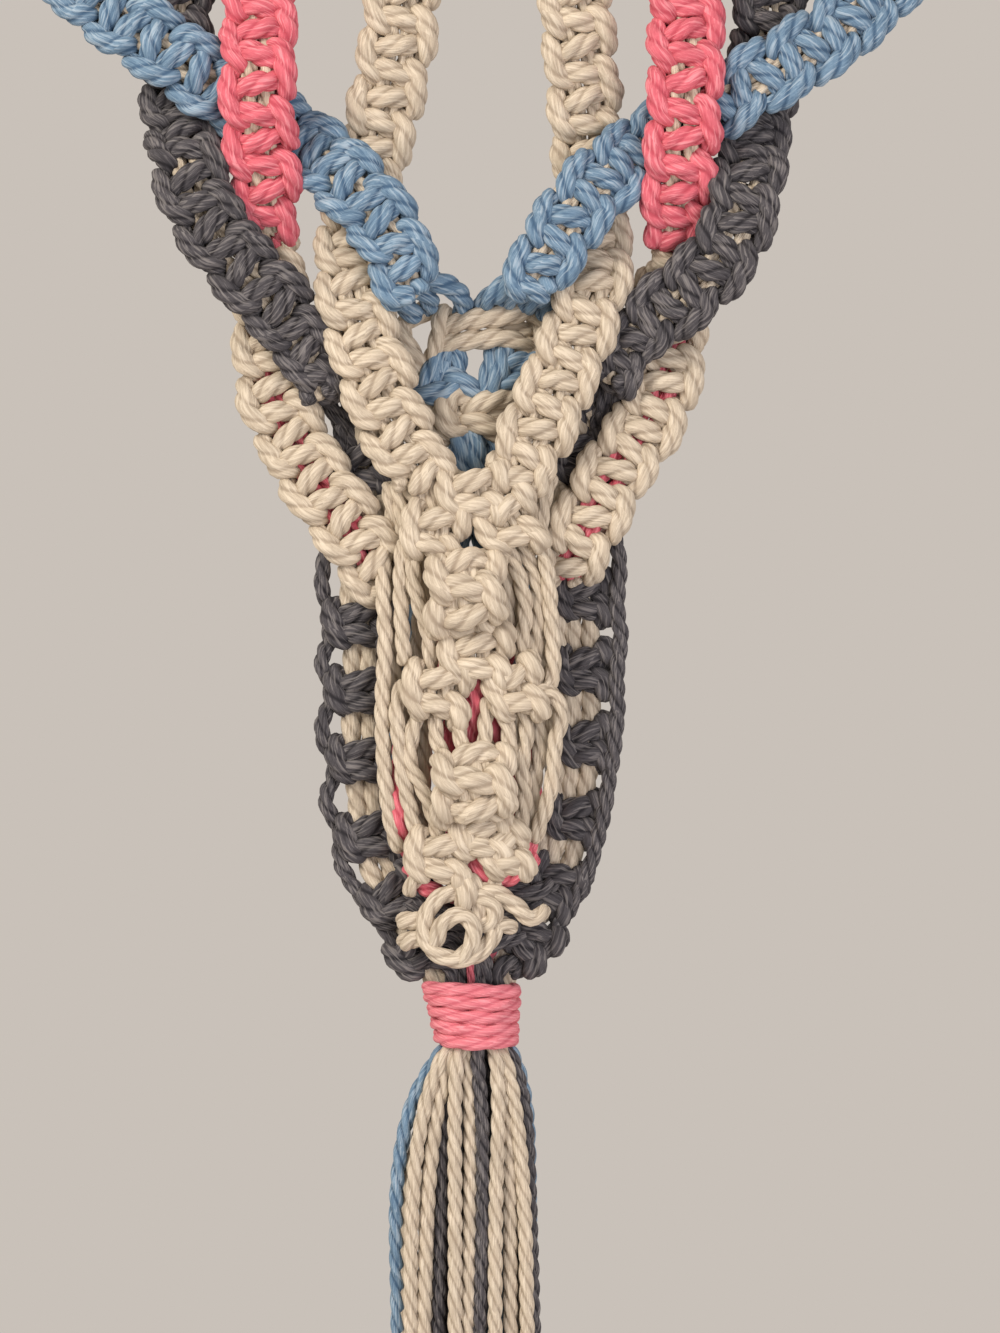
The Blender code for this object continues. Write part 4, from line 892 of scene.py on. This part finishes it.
# %% The net's middle, cord by cord
NET_MIDDLE = {  # across, down, front, swell at each bend
    "cotton_cream": [
        [(-8, 143.6, -12.5), (-6.4, 141.8, -10.5), (-1, 140.2, -8.8, 1.15), (5, 139.4, -8.4, 1.2),
         (12, 138.5, -9, 1.12), (17.6, 137, -12)],
        [(-6.4, 136.4, -13), (-8.8, 139, -10.4), (-9.4, 143.5, -9.8), (-10.6, 149, -11),
         (-12.6, 153, -14)],
        [(-10.4, 149.6, -12.6), (-7.4, 147.4, -10.6), (-2.5, 146.5, -9.6, 1.06),
         (4.5, 145.8, -9.4, 1.1), (9.6, 145.4, -9.8, 1.08), (15, 146.8, -11.5), (19, 149.6, -14.5)],
        [(-21.6, 139.4, -14.5), (-20, 146, -13, 1.05), (-15.8, 152.6, -13, 1.05), (-14.6, 156, -15)],
        [(-21.5, 139.8, -15.5), (-14, 137.4, -14.5), (-6, 137.2, -13.5)],
        [(6, 143, -14), (13, 142.6, -13.5), (19, 143.6, -14.5)],
        [(-11.5, 134.5, -12), (-15.4, 137.4, -14), (-19, 139.8, -14.5), (-22.5, 143.4, -15)],
        [(17.4, 136.5, -14), (20.7, 141, -15), (20, 146.6, -14.5), (13, 147.4, -13.5)],
        [(11.5, 150.6, -14.5), (16.5, 150.4, -14), (22, 148.6, -15)],
        [(-15, 162.6, -14.5), (-11.6, 166, -14), (-11.4, 172.4, -14.5), (-5.5, 177, -15)],
        [(1.5, 175.2, -14), (-5.7, 172.8, -10.6, 1.3), (-7.9, 166.8, -9.8, 1.35),
         (-5.1, 162.6, -10.8, 1.25), (0.5, 165, -12.5), (3, 168.6, -15)],
        [(-2.4, 168.3, -12, 1.1), (4.5, 165, -9.4, 1.2), (9.9, 163.5, -11, 1.1), (15, 160.5, -14)],
        [(-2.4, 169.2, -12.5, 1.1), (1.5, 170.7, -10, 1.2), (6, 172.8, -10.2, 1.2), (12, 176, -14)],
        [(2, 169, -13), (8, 169, -12), (14, 169, -14.5)],
        [(-9, 167, -14), (-3, 168.6, -13), (3, 170, -14.5)],
        [(-21, 150, -16), (-27, 160, -15.5), (-33, 173, -15), (-35, 188, -15)],
        [(-20, 143, -15), (-25, 154, -16), (-30, 166, -15), (-30, 187, -15)],
        [(20, 146, -15), (27, 157, -16), (33, 170, -15), (35, 186, -15)],
        [(22, 143, -15), (30, 158, -15.5), (37.5, 170, -15), (38, 186, -15)],
    ],
    "cotton_blue": [
        [(-9, 157.5, -13.5), (-8.6, 152, -11.6, 1.05), (-5.8, 148.6, -12, 1.05),
         (-3.6, 152, -12), (-4.4, 158, -14.5)],
        [(-7, 144, -15), (-10.4, 152.4, -11.8, 1.1), (-13.4, 158.8, -12, 1.1), (-14.8, 163, -14.5)],
        [(-5.4, 145, -15), (-8.2, 153.5, -12.4, 1.1), (-11, 160.5, -13, 1.1)],
        [(-17.4, 160.4, -15), (-13.2, 162, -11, 1.2), (-7.8, 162.2, -10.2, 1.3),
         (-3.3, 160.5, -11.4, 1.2), (0.6, 158, -14)],
        [(-8.6, 157.6, -13.5), (-5, 157.2, -10.8, 1.1), (-0.8, 159.8, -10.2, 1.1),
         (3.3, 164, -13.5)],
        [(11, 144.5, -15), (10.2, 150.6, -11, 1.15), (8.8, 156.4, -9.8, 1.2), (6, 161.4, -11, 1.1),
         (4.4, 165, -14.5)],
        [(7.6, 144.5, -15.5), (6.8, 151.5, -12, 1.1), (5.6, 156.6, -11.2, 1.1), (3.8, 162, -13)],
        [(7, 153.9, -12), (12, 153.3, -10.8, 1.2), (16.5, 152.4, -11.8, 1.15), (21, 151, -15)],
        [(7, 158.6, -12.4), (11.4, 158.7, -10.8, 1.2), (15.5, 158.4, -12, 1.15), (20, 157, -15)],
        [(-2.7, 167, -15), (-3, 177.5, -11.6, 1.3), (-2.8, 183, -12, 1.3), (-1, 190, -14)],
        [(1.6, 167, -15), (1.5, 177.5, -11.8, 1.3), (1.2, 183, -12.2, 1.3), (1.5, 190, -14)],
        [(5, 172, -15), (7.5, 178, -15, 1.2), (6, 186, -15.5)],
        [(-2.7, 176, -14.5), (-4, 190, -13, 0.85), (-1.8, 205, -12, 0.85), (-9, 222, -11, 0.85),
         (-13, 238, -10, 0.85), (-8, 256, -11, 0.85), (-7, 290, -11, 0.85), (-4, 325, -10, 0.85),
         (-1, 343, -9, 0.85)],
        [(1.6, 176, -14.5), (1.8, 190, -13, 0.85), (2.4, 205, -12, 0.85), (8, 222, -12, 0.85),
         (12, 240, -10, 0.85), (10, 262, -11, 0.85), (11, 290, -10, 0.85), (6, 325, -10, 0.85),
         (3, 343, -10, 0.85)],
        [(6, 180, -15, 0.85), (8, 200, -13, 0.85), (14, 215, -11, 0.85), (18.6, 236, -9, 0.85),
         (19, 262, -10, 0.85), (18, 290, -10, 0.85), (9, 325, -10, 0.85), (5, 343, -9, 0.85)],
        [(-6, 180, -15, 0.85), (-10, 200, -13, 0.85), (-15.4, 218, -10, 0.85), (-17, 234, -7, 0.9),
         (-21.4, 247, -10, 0.9), (-22.6, 262, -9, 0.85), (-18, 290, -10, 0.85), (-7, 325, -10, 0.85),
         (-3, 343, -9, 0.85)],
        [(-25, 129.5, -5), (-19.8, 135.6, -7, 1.2), (-15.8, 139.4, -12, 1.1)],
        [(30, 127, -5), (25.6, 133.8, -7, 1.2), (21.6, 139.6, -12, 1.1)],
        [(-20, 128.5, -2), (-16.2, 131, -1, 1.15), (-12.8, 133, -4, 1.1), (-12, 137, -14)],
        [(-17, 124, 1), (-12.6, 128.6, 1.4, 1.1), (-9, 130, 0.6, 1.15), (-4.8, 131.6, -2, 1.15),
         (-2, 135.2, -7.5, 1.05), (-3.6, 140, -14)],
        [(20.5, 123.5, 0.5), (15, 128, 0.5, 1.2), (10, 131.4, -1.5, 1.25), (5.6, 134, -5, 1.1),
         (2.4, 136.6, -14)],
        [(24, 127.5, -1), (18, 131.4, -1.4, 1.2), (12.4, 133.8, -5, 1.1), (9, 136, -14)],
        [(26, 130, -3), (22, 133.6, -3, 1.15), (17.6, 135.6, -8, 1.1), (15, 137, -15)],
    ],
}

for cotton, strands in NET_MIDDLE.items():
    paths = [strand_path(bends) for bends in strands]
    dress(f"net_middle_{cotton[7:]}", cotton, paths, ["back_net"], TIED)

# %% [markdown]
# ## The net's sides
#
# Down each side grey cords are tied round cream ones. Between two knots the outer grey cord stands
# off from the cream as a small loop, which makers call a picot. The knots are square knots, so the
# one-knot function ties them. The cream columns run through all of them, so they are long cords of
# their own, and so is the grey cord that goes in and out at the edge.

# %% The knots, edges and columns of the net's sides, in millimetres
NET_KNOTS = [  # across, down, front, width, height, lean
    (-32.5, 184.5, -15, 17, 15, 8), (33, 182, -15, 17, 15, -8),
    (-33.5, 231.8, -14, 24, 13, 0), (-33, 252.6, -14, 23.5, 12.6, 0),
    (-32.3, 273.3, -14, 23, 12, 0), (-30, 296.5, -14, 22, 12.6, 8),
    (-23, 315.3, -12, 21, 13, 28), (-16, 330.8, -9.5, 18, 12, 40),
    (34.6, 224, -14, 18.5, 12, 0), (34.6, 246, -14, 18.5, 12.4, 0),
    (35, 268.2, -14, 18, 12, 0), (31.6, 291, -14, 18.5, 12, -8),
    (25.4, 311.5, -12, 19, 13.5, -28), (18, 327.6, -9.5, 18, 12, -40),
]
NET_EDGES = [  # the outer grey cord of each side, in and out of the knots
    [(-40, 171, -12), (-38.5, 180, -14), (-38.5, 195, -14.5), (-43, 204, -14), (-44, 209.7, -13),
     (-45, 216.3, -12.5), (-45, 222, -12.5), (-43.4, 227, -17), (-43.2, 236.5, -17),
     (-45, 242, -12.5), (-44.8, 246, -12.5), (-43, 250, -17), (-43, 256, -17), (-45, 262, -12.5),
     (-44.6, 268, -12.5), (-42, 273, -17), (-42, 279, -17), (-44, 284.5, -12.5), (-43, 289, -12.5),
     (-40, 295, -17), (-40, 300.5, -16), (-39, 306, -12.5), (-34, 314, -12), (-28, 321.5, -11),
     (-24, 328, -9.5), (-21.4, 334.5, -8.5), (-15, 338.6, -8)],
    [(39.5, 167, -12), (38, 176, -14), (39, 190, -14.5), (42, 200, -12), (44, 207, -9),
     (45.2, 214.8, -8), (44.6, 222, -7), (44.6, 229, -7.4), (45.6, 235.5, -9), (45.2, 240, -8.4),
     (44.4, 246, -7), (44.4, 252, -7.6), (44.6, 259, -9), (43.8, 265.8, -7.4), (43.2, 272, -7.6),
     (42, 279, -9), (41, 286, -7.6), (39.6, 293, -7.6), (37.8, 300, -9), (35.6, 307, -7.4),
     (32, 315, -7.6), (27.4, 322, -8.4), (22.4, 329.5, -8), (17.5, 335, -8), (12, 339, -8)],
]
NET_COLUMNS = [  # where the cream cords lie in a column, and the column's middle to the neck
    ((-1, 1), [(-32, 187, -15), (-34, 205, -14), (-33.5, 231.8, -14), (-33.4, 252.6, -14),
     (-33, 273.3, -14), (-30.5, 296.5, -14), (-23.5, 315, -12), (-13, 331, -9), (-8, 343, -8)]),
    ((-2.6, -1, 1), [(35, 183, -15), (34, 203, -14), (33.6, 223.8, -14), (33.8, 246, -14),
     (33.8, 268, -14), (31, 291, -14), (24.6, 311.5, -12), (12, 330, -11), (8.4, 343, -9)]),
]
print(f"{len(NET_KNOTS)} knots, {len(NET_EDGES)} edges, {len(NET_COLUMNS)} columns")

# %% The other grey cords and the pink ones behind the panel, in millimetres
GREY_NECK = [  # grey cords that come together behind the ring and go down into the wrap
    [(-22, 316, -9), (-14, 321, -4), (-7, 322, -1), (0, 326, 0), (4, 333, -2), (4.6, 342, -5)],
    [(-18, 325, -8), (-10, 327, -2), (-5, 327, 0), (-2, 333, -1), (-1.6, 342, -5)],
    [(24, 316, -9), (15, 319, -4), (8, 320, -1), (1, 321, -1), (-5, 320, -2), (-10, 316, -7)],
    [(20, 326, -8), (12, 327, -3), (7, 328.4, -1), (2, 331, -0.5), (1.6, 342, -5)],
    [(-15, 333, -8), (-9, 334, -3.5), (-5.4, 336, -3), (-5, 343, -6)],
    [(14, 334, -8), (10, 335, -4), (8, 338, -4), (8, 343, -6)],
    [(6, 311, -7), (14, 312.6, -3.5), (20, 313, -3.5), (26, 310, -9)],
]
GREY_ENDS = [  # the grey sennits' cords, on their way down behind the inner V to the net
    [(-48, 156, -8), (-43, 165, -12), (-38, 174, -14), (-33, 183, -15)],
    [(-43, 154, -9), (-38, 163, -13), (-33.5, 172, -15), (-31, 183, -16)],
    [(-40, 166, -14), (-36, 177, -15), (-35, 186, -16)],
    [(41, 152, -9), (37.5, 160, -13), (34, 170, -15), (31, 181, -16)],
    [(45, 153, -8), (42, 161, -11, 1.1), (38.6, 170, -14), (34, 181, -15)],
    [(48, 156, -9), (44.6, 164.4, -11, 1.1), (41.4, 173, -14), (37, 183, -15)],
]
PINK_BEHIND = [  # the pink core cords of the outer sennits run down behind the panel
    [(-26, 221, -12), (-19.6, 236, -11), (-19, 256, -8), (-21.4, 272, -4), (-21.8, 283, 1.4),
     (-20.8, 292, 2), (-19, 300, -3), (-9, 320, -8), (-3, 342, -7)],
    [(-24, 224, -11), (-11, 240, -8), (-5.6, 252, -2, 1.1), (-6, 265, -1, 1.1), (-7, 285, -6),
     (-3, 305, -7), (-1, 322, -6), (0.5, 342, -5)],
    [(-22, 226, -11), (-6, 242, -8), (0.8, 249, 1, 1.25), (1.2, 262, 1, 1.25), (-1, 280, -5),
     (0, 296, -2), (0.8, 301.6, 2.4, 1.1), (3.4, 306.4, 4, 1.1), (5.6, 310.6, 2, 1.1),
     (5, 320, -5)],
    [(26, 217, -11), (20, 226, -11), (12, 238, -8), (8.2, 253, -1, 1.1), (8, 265, -1, 1.1),
     (6, 282, -6), (6, 298, -2), (6, 304, 1), (8.6, 308.6, 4), (12.6, 308, 6), (16.6, 305.4, 8),
     (19.6, 302, 2)],
    [(25, 219, -12), (18, 228, -10), (9, 248, -7), (9.2, 262, -6.5), (14, 284, -8), (13, 305, -8),
     (8, 320, -9), (4, 342, -7)],
    [(26, 221, -12), (19, 232, -9), (18.4, 250, -8), (18.6, 272, -8), (19.6, 288, -6),
     (18.4, 297, 1), (16.4, 303, 4.6), (13.6, 306.4, 4), (9, 310, -2)],
    [(1.4, 318, -4, 0.5), (0, 331, 1.4, 0.5), (0.2, 337, 0.6, 0.5), (0.4, 343, -4, 0.5)],
    [(-19, 305, -6), (-15.6, 309.4, 1), (-12.4, 311.6, 4, 1.1), (-8.4, 312.4, 3), (-3, 315, -4)],
]
print(f"{len(GREY_NECK + GREY_ENDS)} grey cords, {len(PINK_BEHIND)} pink ones")

# %% Tie the net's sides
NET_TIED = 1.26 * CORD
COLUMN_CORD = 1.28 * CORD
EDGE_CORD = 1.03 * CORD
NECK_CORD = 1.1 * CORD
COLUMN_SPREAD = 0.55 * CORD
COLUMN_STEPS = 60
COLUMN_TAPER = ([0, 0.75, 1], [1, 1, 0.6])  # it draws together over its last quarter
COLUMN_WANDER, WANDER_LENGTH = 0.12, 6.6  # how far a cord strays, and how slowly
net_tying, _ = knot_cords(NET_KNOTS)
dress("net_knots_grey", "cotton_grey", net_tying, ["back_net"], NET_TIED)
dress("net_edges_grey", "cotton_grey", [strand_path(bends) for bends in NET_EDGES], ["back_net"],
      EDGE_CORD)
dress("net_neck_grey", "cotton_grey", [strand_path(bends) for bends in GREY_NECK + GREY_ENDS],
      ["back_net"], NECK_CORD)
column_paths = []
for sides, bends in NET_COLUMNS:
    ruler = Ruler(smooth_curve([(*bend, 1) for bend in bends]))
    steps = np.linspace(0, ruler.length, COLUMN_STEPS)
    taper = np.interp(steps / ruler.length, *COLUMN_TAPER)
    for side in sides:
        wander = COLUMN_WANDER * np.sin(steps / WANDER_LENGTH + side)
        column_paths.append(ruler.at(steps, (side + wander) * COLUMN_SPREAD * taper,
                                     side * wander * CORD))
dress("net_columns_cream", "cotton_cream", column_paths, ["back_net"], COLUMN_CORD)
dress("net_behind_pink", "cotton_pink", [strand_path(bends) for bends in PINK_BEHIND], ["back_net"])

# %% [markdown]
# ## The gathering wrap
#
# At the foot all the cords are gathered and bound with five turns of pink cord. Five rings would
# do, but a real wrap is one cord wound round and round, and its turns slope a little. So its path is
# one flat helix, drawn in at its foot, with a small waver because it was wound by hand.

# %% Wind the wrap
WRAP_TOP, WRAP_TURNS, WRAP_PITCH = 339.5, 5, 3.9
WRAP_ACROSS = (0.3, 2.2)  # its middle, at its top and its foot
WRAP_HALF = (15.5, 12.8)  # half its width, at its top and its foot
WRAP_DEPTH = 12.6  # half of it, front to back
WRAP_FRONT = -5
WRAP_CORD = 0.92 * CORD  # wound under tension, so a little thinner
WRAP_LAY = 5 * CORD  # and its plies are stretched
WRAP_UNEVEN = 0.22  # how far the turns wander up and down
WAVERS = 2.3  # about as many in each turn
POINTS_A_TURN = 28
FIRST_LEVEL = 0.25  # share of the first turn before the winding starts to go down


def wrap_path():
    """A flat helix of five turns, a little narrower at its foot."""
    turns = np.linspace(0, WRAP_TURNS, WRAP_TURNS * POINTS_A_TURN + 1)
    path = []
    for turn in turns:
        share = turn / WRAP_TURNS
        half = WRAP_HALF[0] + (WRAP_HALF[1] - WRAP_HALF[0]) * share - WRAP_CORD / 2
        across = WRAP_ACROSS[0] + (WRAP_ACROSS[1] - WRAP_ACROSS[0]) * share
        angle = math.pi * (1 - 2 * turn)
        wound = min(max(turn - FIRST_LEVEL, 0), WRAP_TURNS - 1)
        down = WRAP_TOP + WRAP_CORD / 2 + WRAP_PITCH * wound
        down += WRAP_UNEVEN * math.sin(WAVERS * angle + turn)
        path.append(place(across + half * math.cos(angle), down,
                          WRAP_FRONT + (WRAP_DEPTH - WRAP_CORD / 2) * math.sin(angle)))
    return np.array(path)


dress("gathering_wrap", "cotton_pink", [wrap_path()], ["wrap"], WRAP_CORD, WRAP_LAY, wound=True)

# %% [markdown]
# ## The tassel
#
# Below the wrap the ends hang free. They are the same cords that made the hanging, so they have its
# colours, and they are cut off square. Hair or a simulation could make a tassel, but these are heavy
# cords that hang almost straight. The twelve in front are placed one by one as they are seen, and
# those behind fill the bundle in rows.

# %% The tassel's front cords, and how a cord hangs
TASSEL_LEVELS = (350, 357.5, 363, 379.5, 405, 445)  # below the top edge: two in the wrap, then free
TASSEL_CORD = 0.94 * CORD
TASSEL_MIDDLE_FRONT = WRAP_FRONT + 2
TASSEL_FRONT = [  # cotton, across at each free level and at the end, front at the wrap and hanging
    ("cotton_blue", (-10, -18.6, -21.8, -22, -22.2), 0, -4),
    ("cotton_cream", (-8.6, -14.2, -17.1, -17.9, -18), 3, 1),
    ("cotton_cream", (-6.2, -10.2, -12.9, -14, -14.2), 2, 0),
    ("cotton_grey", (-4.5, -7.4, -8.6, -9.6, -9.8), 0, -2.5),
    ("cotton_cream", (-3.8, -4.7, -4.5, -4.8, -5), 4.4, 3),
    ("cotton_cream", (-0.8, -0.2, -0.4, -0.5, -0.7), 2, 0.5),
    ("cotton_grey", (2.2, 3.6, 3.6, 3.4, 3.3), 4, 2),
    ("cotton_cream", (7.8, 8.6, 8, 7.8, 7.6), 4.6, 3.4),
    ("cotton_cream", (9.4, 11.4, 12, 12.4, 12.4), 2, 0),
    ("cotton_cream", (10.6, 13.8, 15.8, 16.8, 17.2), 3, 1.6),
    ("cotton_grey", (12.6, 16.8, 18.2, 19, 19.4), 1, -3),
    ("cotton_blue", (13.2, 17, 18, 18.4, 18.6), -2, -8),
]
SWAY = 0.3  # how far a cord strays at its end
SWAY_SHARES = np.array([0, 0.5, 1, 1, 1])  # a cord strays more, the further down


def inside_wrap(across, down, front):
    """The nearest place to this one that lies within the turns of the wrap."""
    share = (down - WRAP_TOP) / (WRAP_PITCH * WRAP_TURNS)
    middle = WRAP_ACROSS[0] + (WRAP_ACROSS[1] - WRAP_ACROSS[0]) * share
    half = WRAP_HALF[0] + (WRAP_HALF[1] - WRAP_HALF[0]) * share - WRAP_CORD - TASSEL_CORD / 2
    deep = WRAP_DEPTH - WRAP_CORD - TASSEL_CORD / 2
    out = max(1.0, math.hypot((across - middle) / half, (front - WRAP_FRONT) / deep))
    return place(middle + (across - middle) / out, down, WRAP_FRONT + (front - WRAP_FRONT) / out)


def hang(cotton, acrosses, near_front, far_front, end):
    """One cord of the tassel: its cotton, and its path from the wrap to its end."""
    fronts = np.interp(range(5), (0, 2, 4), (near_front, far_front, far_front))
    fronts = TASSEL_MIDDLE_FRONT + fronts
    sway = luck.normal(0, SWAY, (5, 2)) * SWAY_SHARES[:, None]
    in_wrap = [inside_wrap(acrosses[0], down, fronts[0]) for down in TASSEL_LEVELS[:2]]
    downs = (*TASSEL_LEVELS[2:], end)
    free = [place(a + s[0], d, f + s[1]) for a, d, f, s in zip(acrosses, downs, fronts, sway)]
    return cotton, np.array([*in_wrap, *free])


print("tassel cords in front:", len(TASSEL_FRONT))

# %% Hang the tassel
FRONT_END, FRONT_END_STEP = 477.2, 1.4  # the ends are cut nearly level
TASSEL_BEHIND = [  # cords, half width, front: the rows behind, from left to right
    (6, 17.5, -4.5), (6, 16, -9), (5, 12, -13.5),
]
BEHIND_ORDER = ("cotton_cream", "cotton_grey", "cotton_cream", "cotton_blue", "cotton_grey")
BEHIND_END, BEHIND_END_STEP = 477, 1.5
NEAR_WIDTHS = (0.6, 0.85)  # how wide the rows behind are just below the wrap
NEAR_MIDDLE, HANGING_MIDDLE = 1.5, -1.6  # and how far to the right their middles are
hung = [hang(*row, FRONT_END - FRONT_END_STEP * (i * 5 % 4)) for i, row in enumerate(TASSEL_FRONT)]
for row, (count, half, front) in enumerate(TASSEL_BEHIND):
    for i in range(count):
        share = 2 * i / (count - 1) - 1
        acrosses = [NEAR_MIDDLE + share * half * wide for wide in NEAR_WIDTHS]
        acrosses += [share * half + HANGING_MIDDLE] * 3
        cotton = BEHIND_ORDER[(i * 2 + row) % 5]
        end = BEHIND_END - BEHIND_END_STEP * ((i * 3 + row) % 4)
        hung.append(hang(cotton, acrosses, front / 2, front, end))
for cotton in ("cotton_cream", "cotton_blue", "cotton_grey"):
    paths = [path for name, path in hung if name == cotton]
    dress(f"tassel_{cotton[7:]}", cotton, paths, ["tassel"], TASSEL_CORD, cut_ends=True)

# %% [markdown]
# ## Floor, light and camera
#
# Nothing here belongs to the hanging. A pale floor lies well below it. Light from all round would
# leave the plies flat, and a small lamp would make them hard. So a pale room gives some even light,
# and two area lights shape the cords: a strong soft one at the upper left and a weaker one at the
# lower right. The camera looks straight at the hanging, as the photograph does.

# %% The floor
FLOOR_DOWN = 0.75
FLOOR_HALF = 0.6


def studio_floor():
    """A pale, matt floor under the hanging."""
    bm = bmesh.new()
    bmesh.ops.create_grid(bm, x_segments=1, y_segments=1, size=FLOOR_HALF)
    mesh = bpy.data.meshes.new("studio_floor")
    bm.to_mesh(mesh)
    bm.free()
    floor = bpy.data.objects.new("studio_floor", mesh)
    floor.location.z = -FLOOR_DOWN
    bpy.context.scene.collection.objects.link(floor)
    paint = bpy.data.materials.new("pale_floor_paint")
    paint.use_nodes = True
    shader = paint.node_tree.nodes["Principled BSDF"]
    shader.inputs["Base Color"].default_value = (*linear("#D5D0CB"), 1)
    shader.inputs["Roughness"].default_value = 0.9
    mesh.materials.append(paint)
    floor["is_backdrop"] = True


studio_floor()
print(f"the floor lies {FLOOR_DOWN} m below the top edge")

# %% The lights and the room
AIM = (0.009, 0, -0.2451)  # the point of the hanging at the middle of the picture
LIGHTS = [  # name, place, size, watts, colour
    ("strong_left", (-0.7, -0.8, 0.35), 0.5, 11.5, "#FFF8EE"),
    ("weak_right", (0.35, -0.7, -0.3), 0.5, 3.5, "#F4F2FA"),
]
for name, position, size, watts, colour in LIGHTS:
    lamp = bpy.data.lights.new(name, "AREA")
    lamp.shape = "SQUARE"
    lamp.size = size
    lamp.energy = watts
    lamp.color = linear(colour)
    holder = bpy.data.objects.new(name, lamp)
    holder.location = position
    holder.rotation_euler = (Vector(AIM) - Vector(position)).to_track_quat("-Z", "Y").to_euler()
    bpy.context.scene.collection.objects.link(holder)
room = bpy.data.worlds.new("pale_room")
room.use_nodes = True
room.node_tree.nodes["Background"].inputs["Color"].default_value = (*linear("#C9C1B9"), 1)
room.node_tree.nodes["Background"].inputs["Strength"].default_value = 1.0
bpy.context.scene.world = room
bpy.context.scene.view_settings.view_transform = "Standard"  # keeps the dyes as deep as they are
print("lights:", [row[0] for row in LIGHTS])

# %% The camera
PICTURE_WIDTH = 0.300  # of the plane that the hanging lies in
CAMERA_AWAY = 0.9
SENSOR = 36.0
lens = bpy.data.cameras.new("camera")
lens.sensor_fit = "HORIZONTAL"
lens.sensor_width = SENSOR
lens.lens = SENSOR * CAMERA_AWAY / PICTURE_WIDTH
lens.clip_start = 0.01
camera = bpy.data.objects.new("camera", lens)
camera.location = (AIM[0], -CAMERA_AWAY, AIM[2])
camera.rotation_euler = (math.radians(90), 0, 0)
bpy.context.scene.collection.objects.link(camera)
bpy.context.scene.camera = camera
print(f"the camera is {CAMERA_AWAY} m away, with a {lens.lens:.0f} mm lens")

# %% [markdown]
# ## Measuring the size
#
# The curve and the two sections that formed the cords are tools, so they are put away. Then the
# dressed hanging is measured, and its box is printed beside the solids' box: cords may stand a
# little proud of them, because they are soft, but the hanging may not have grown.

# %% Put the forming tools away, and measure
for tool in (former, hanging_section, tied_section):
    bpy.data.objects.remove(tool)
dressed_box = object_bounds()
sizes = {"cad": [list(corner) for corner in cad_box],
         "dressed": [list(corner) for corner in dressed_box]}
for name, box in sizes.items():
    print(f"{name}, in mm:", [[round(1000 * v, 1) for v in corner] for corner in box])
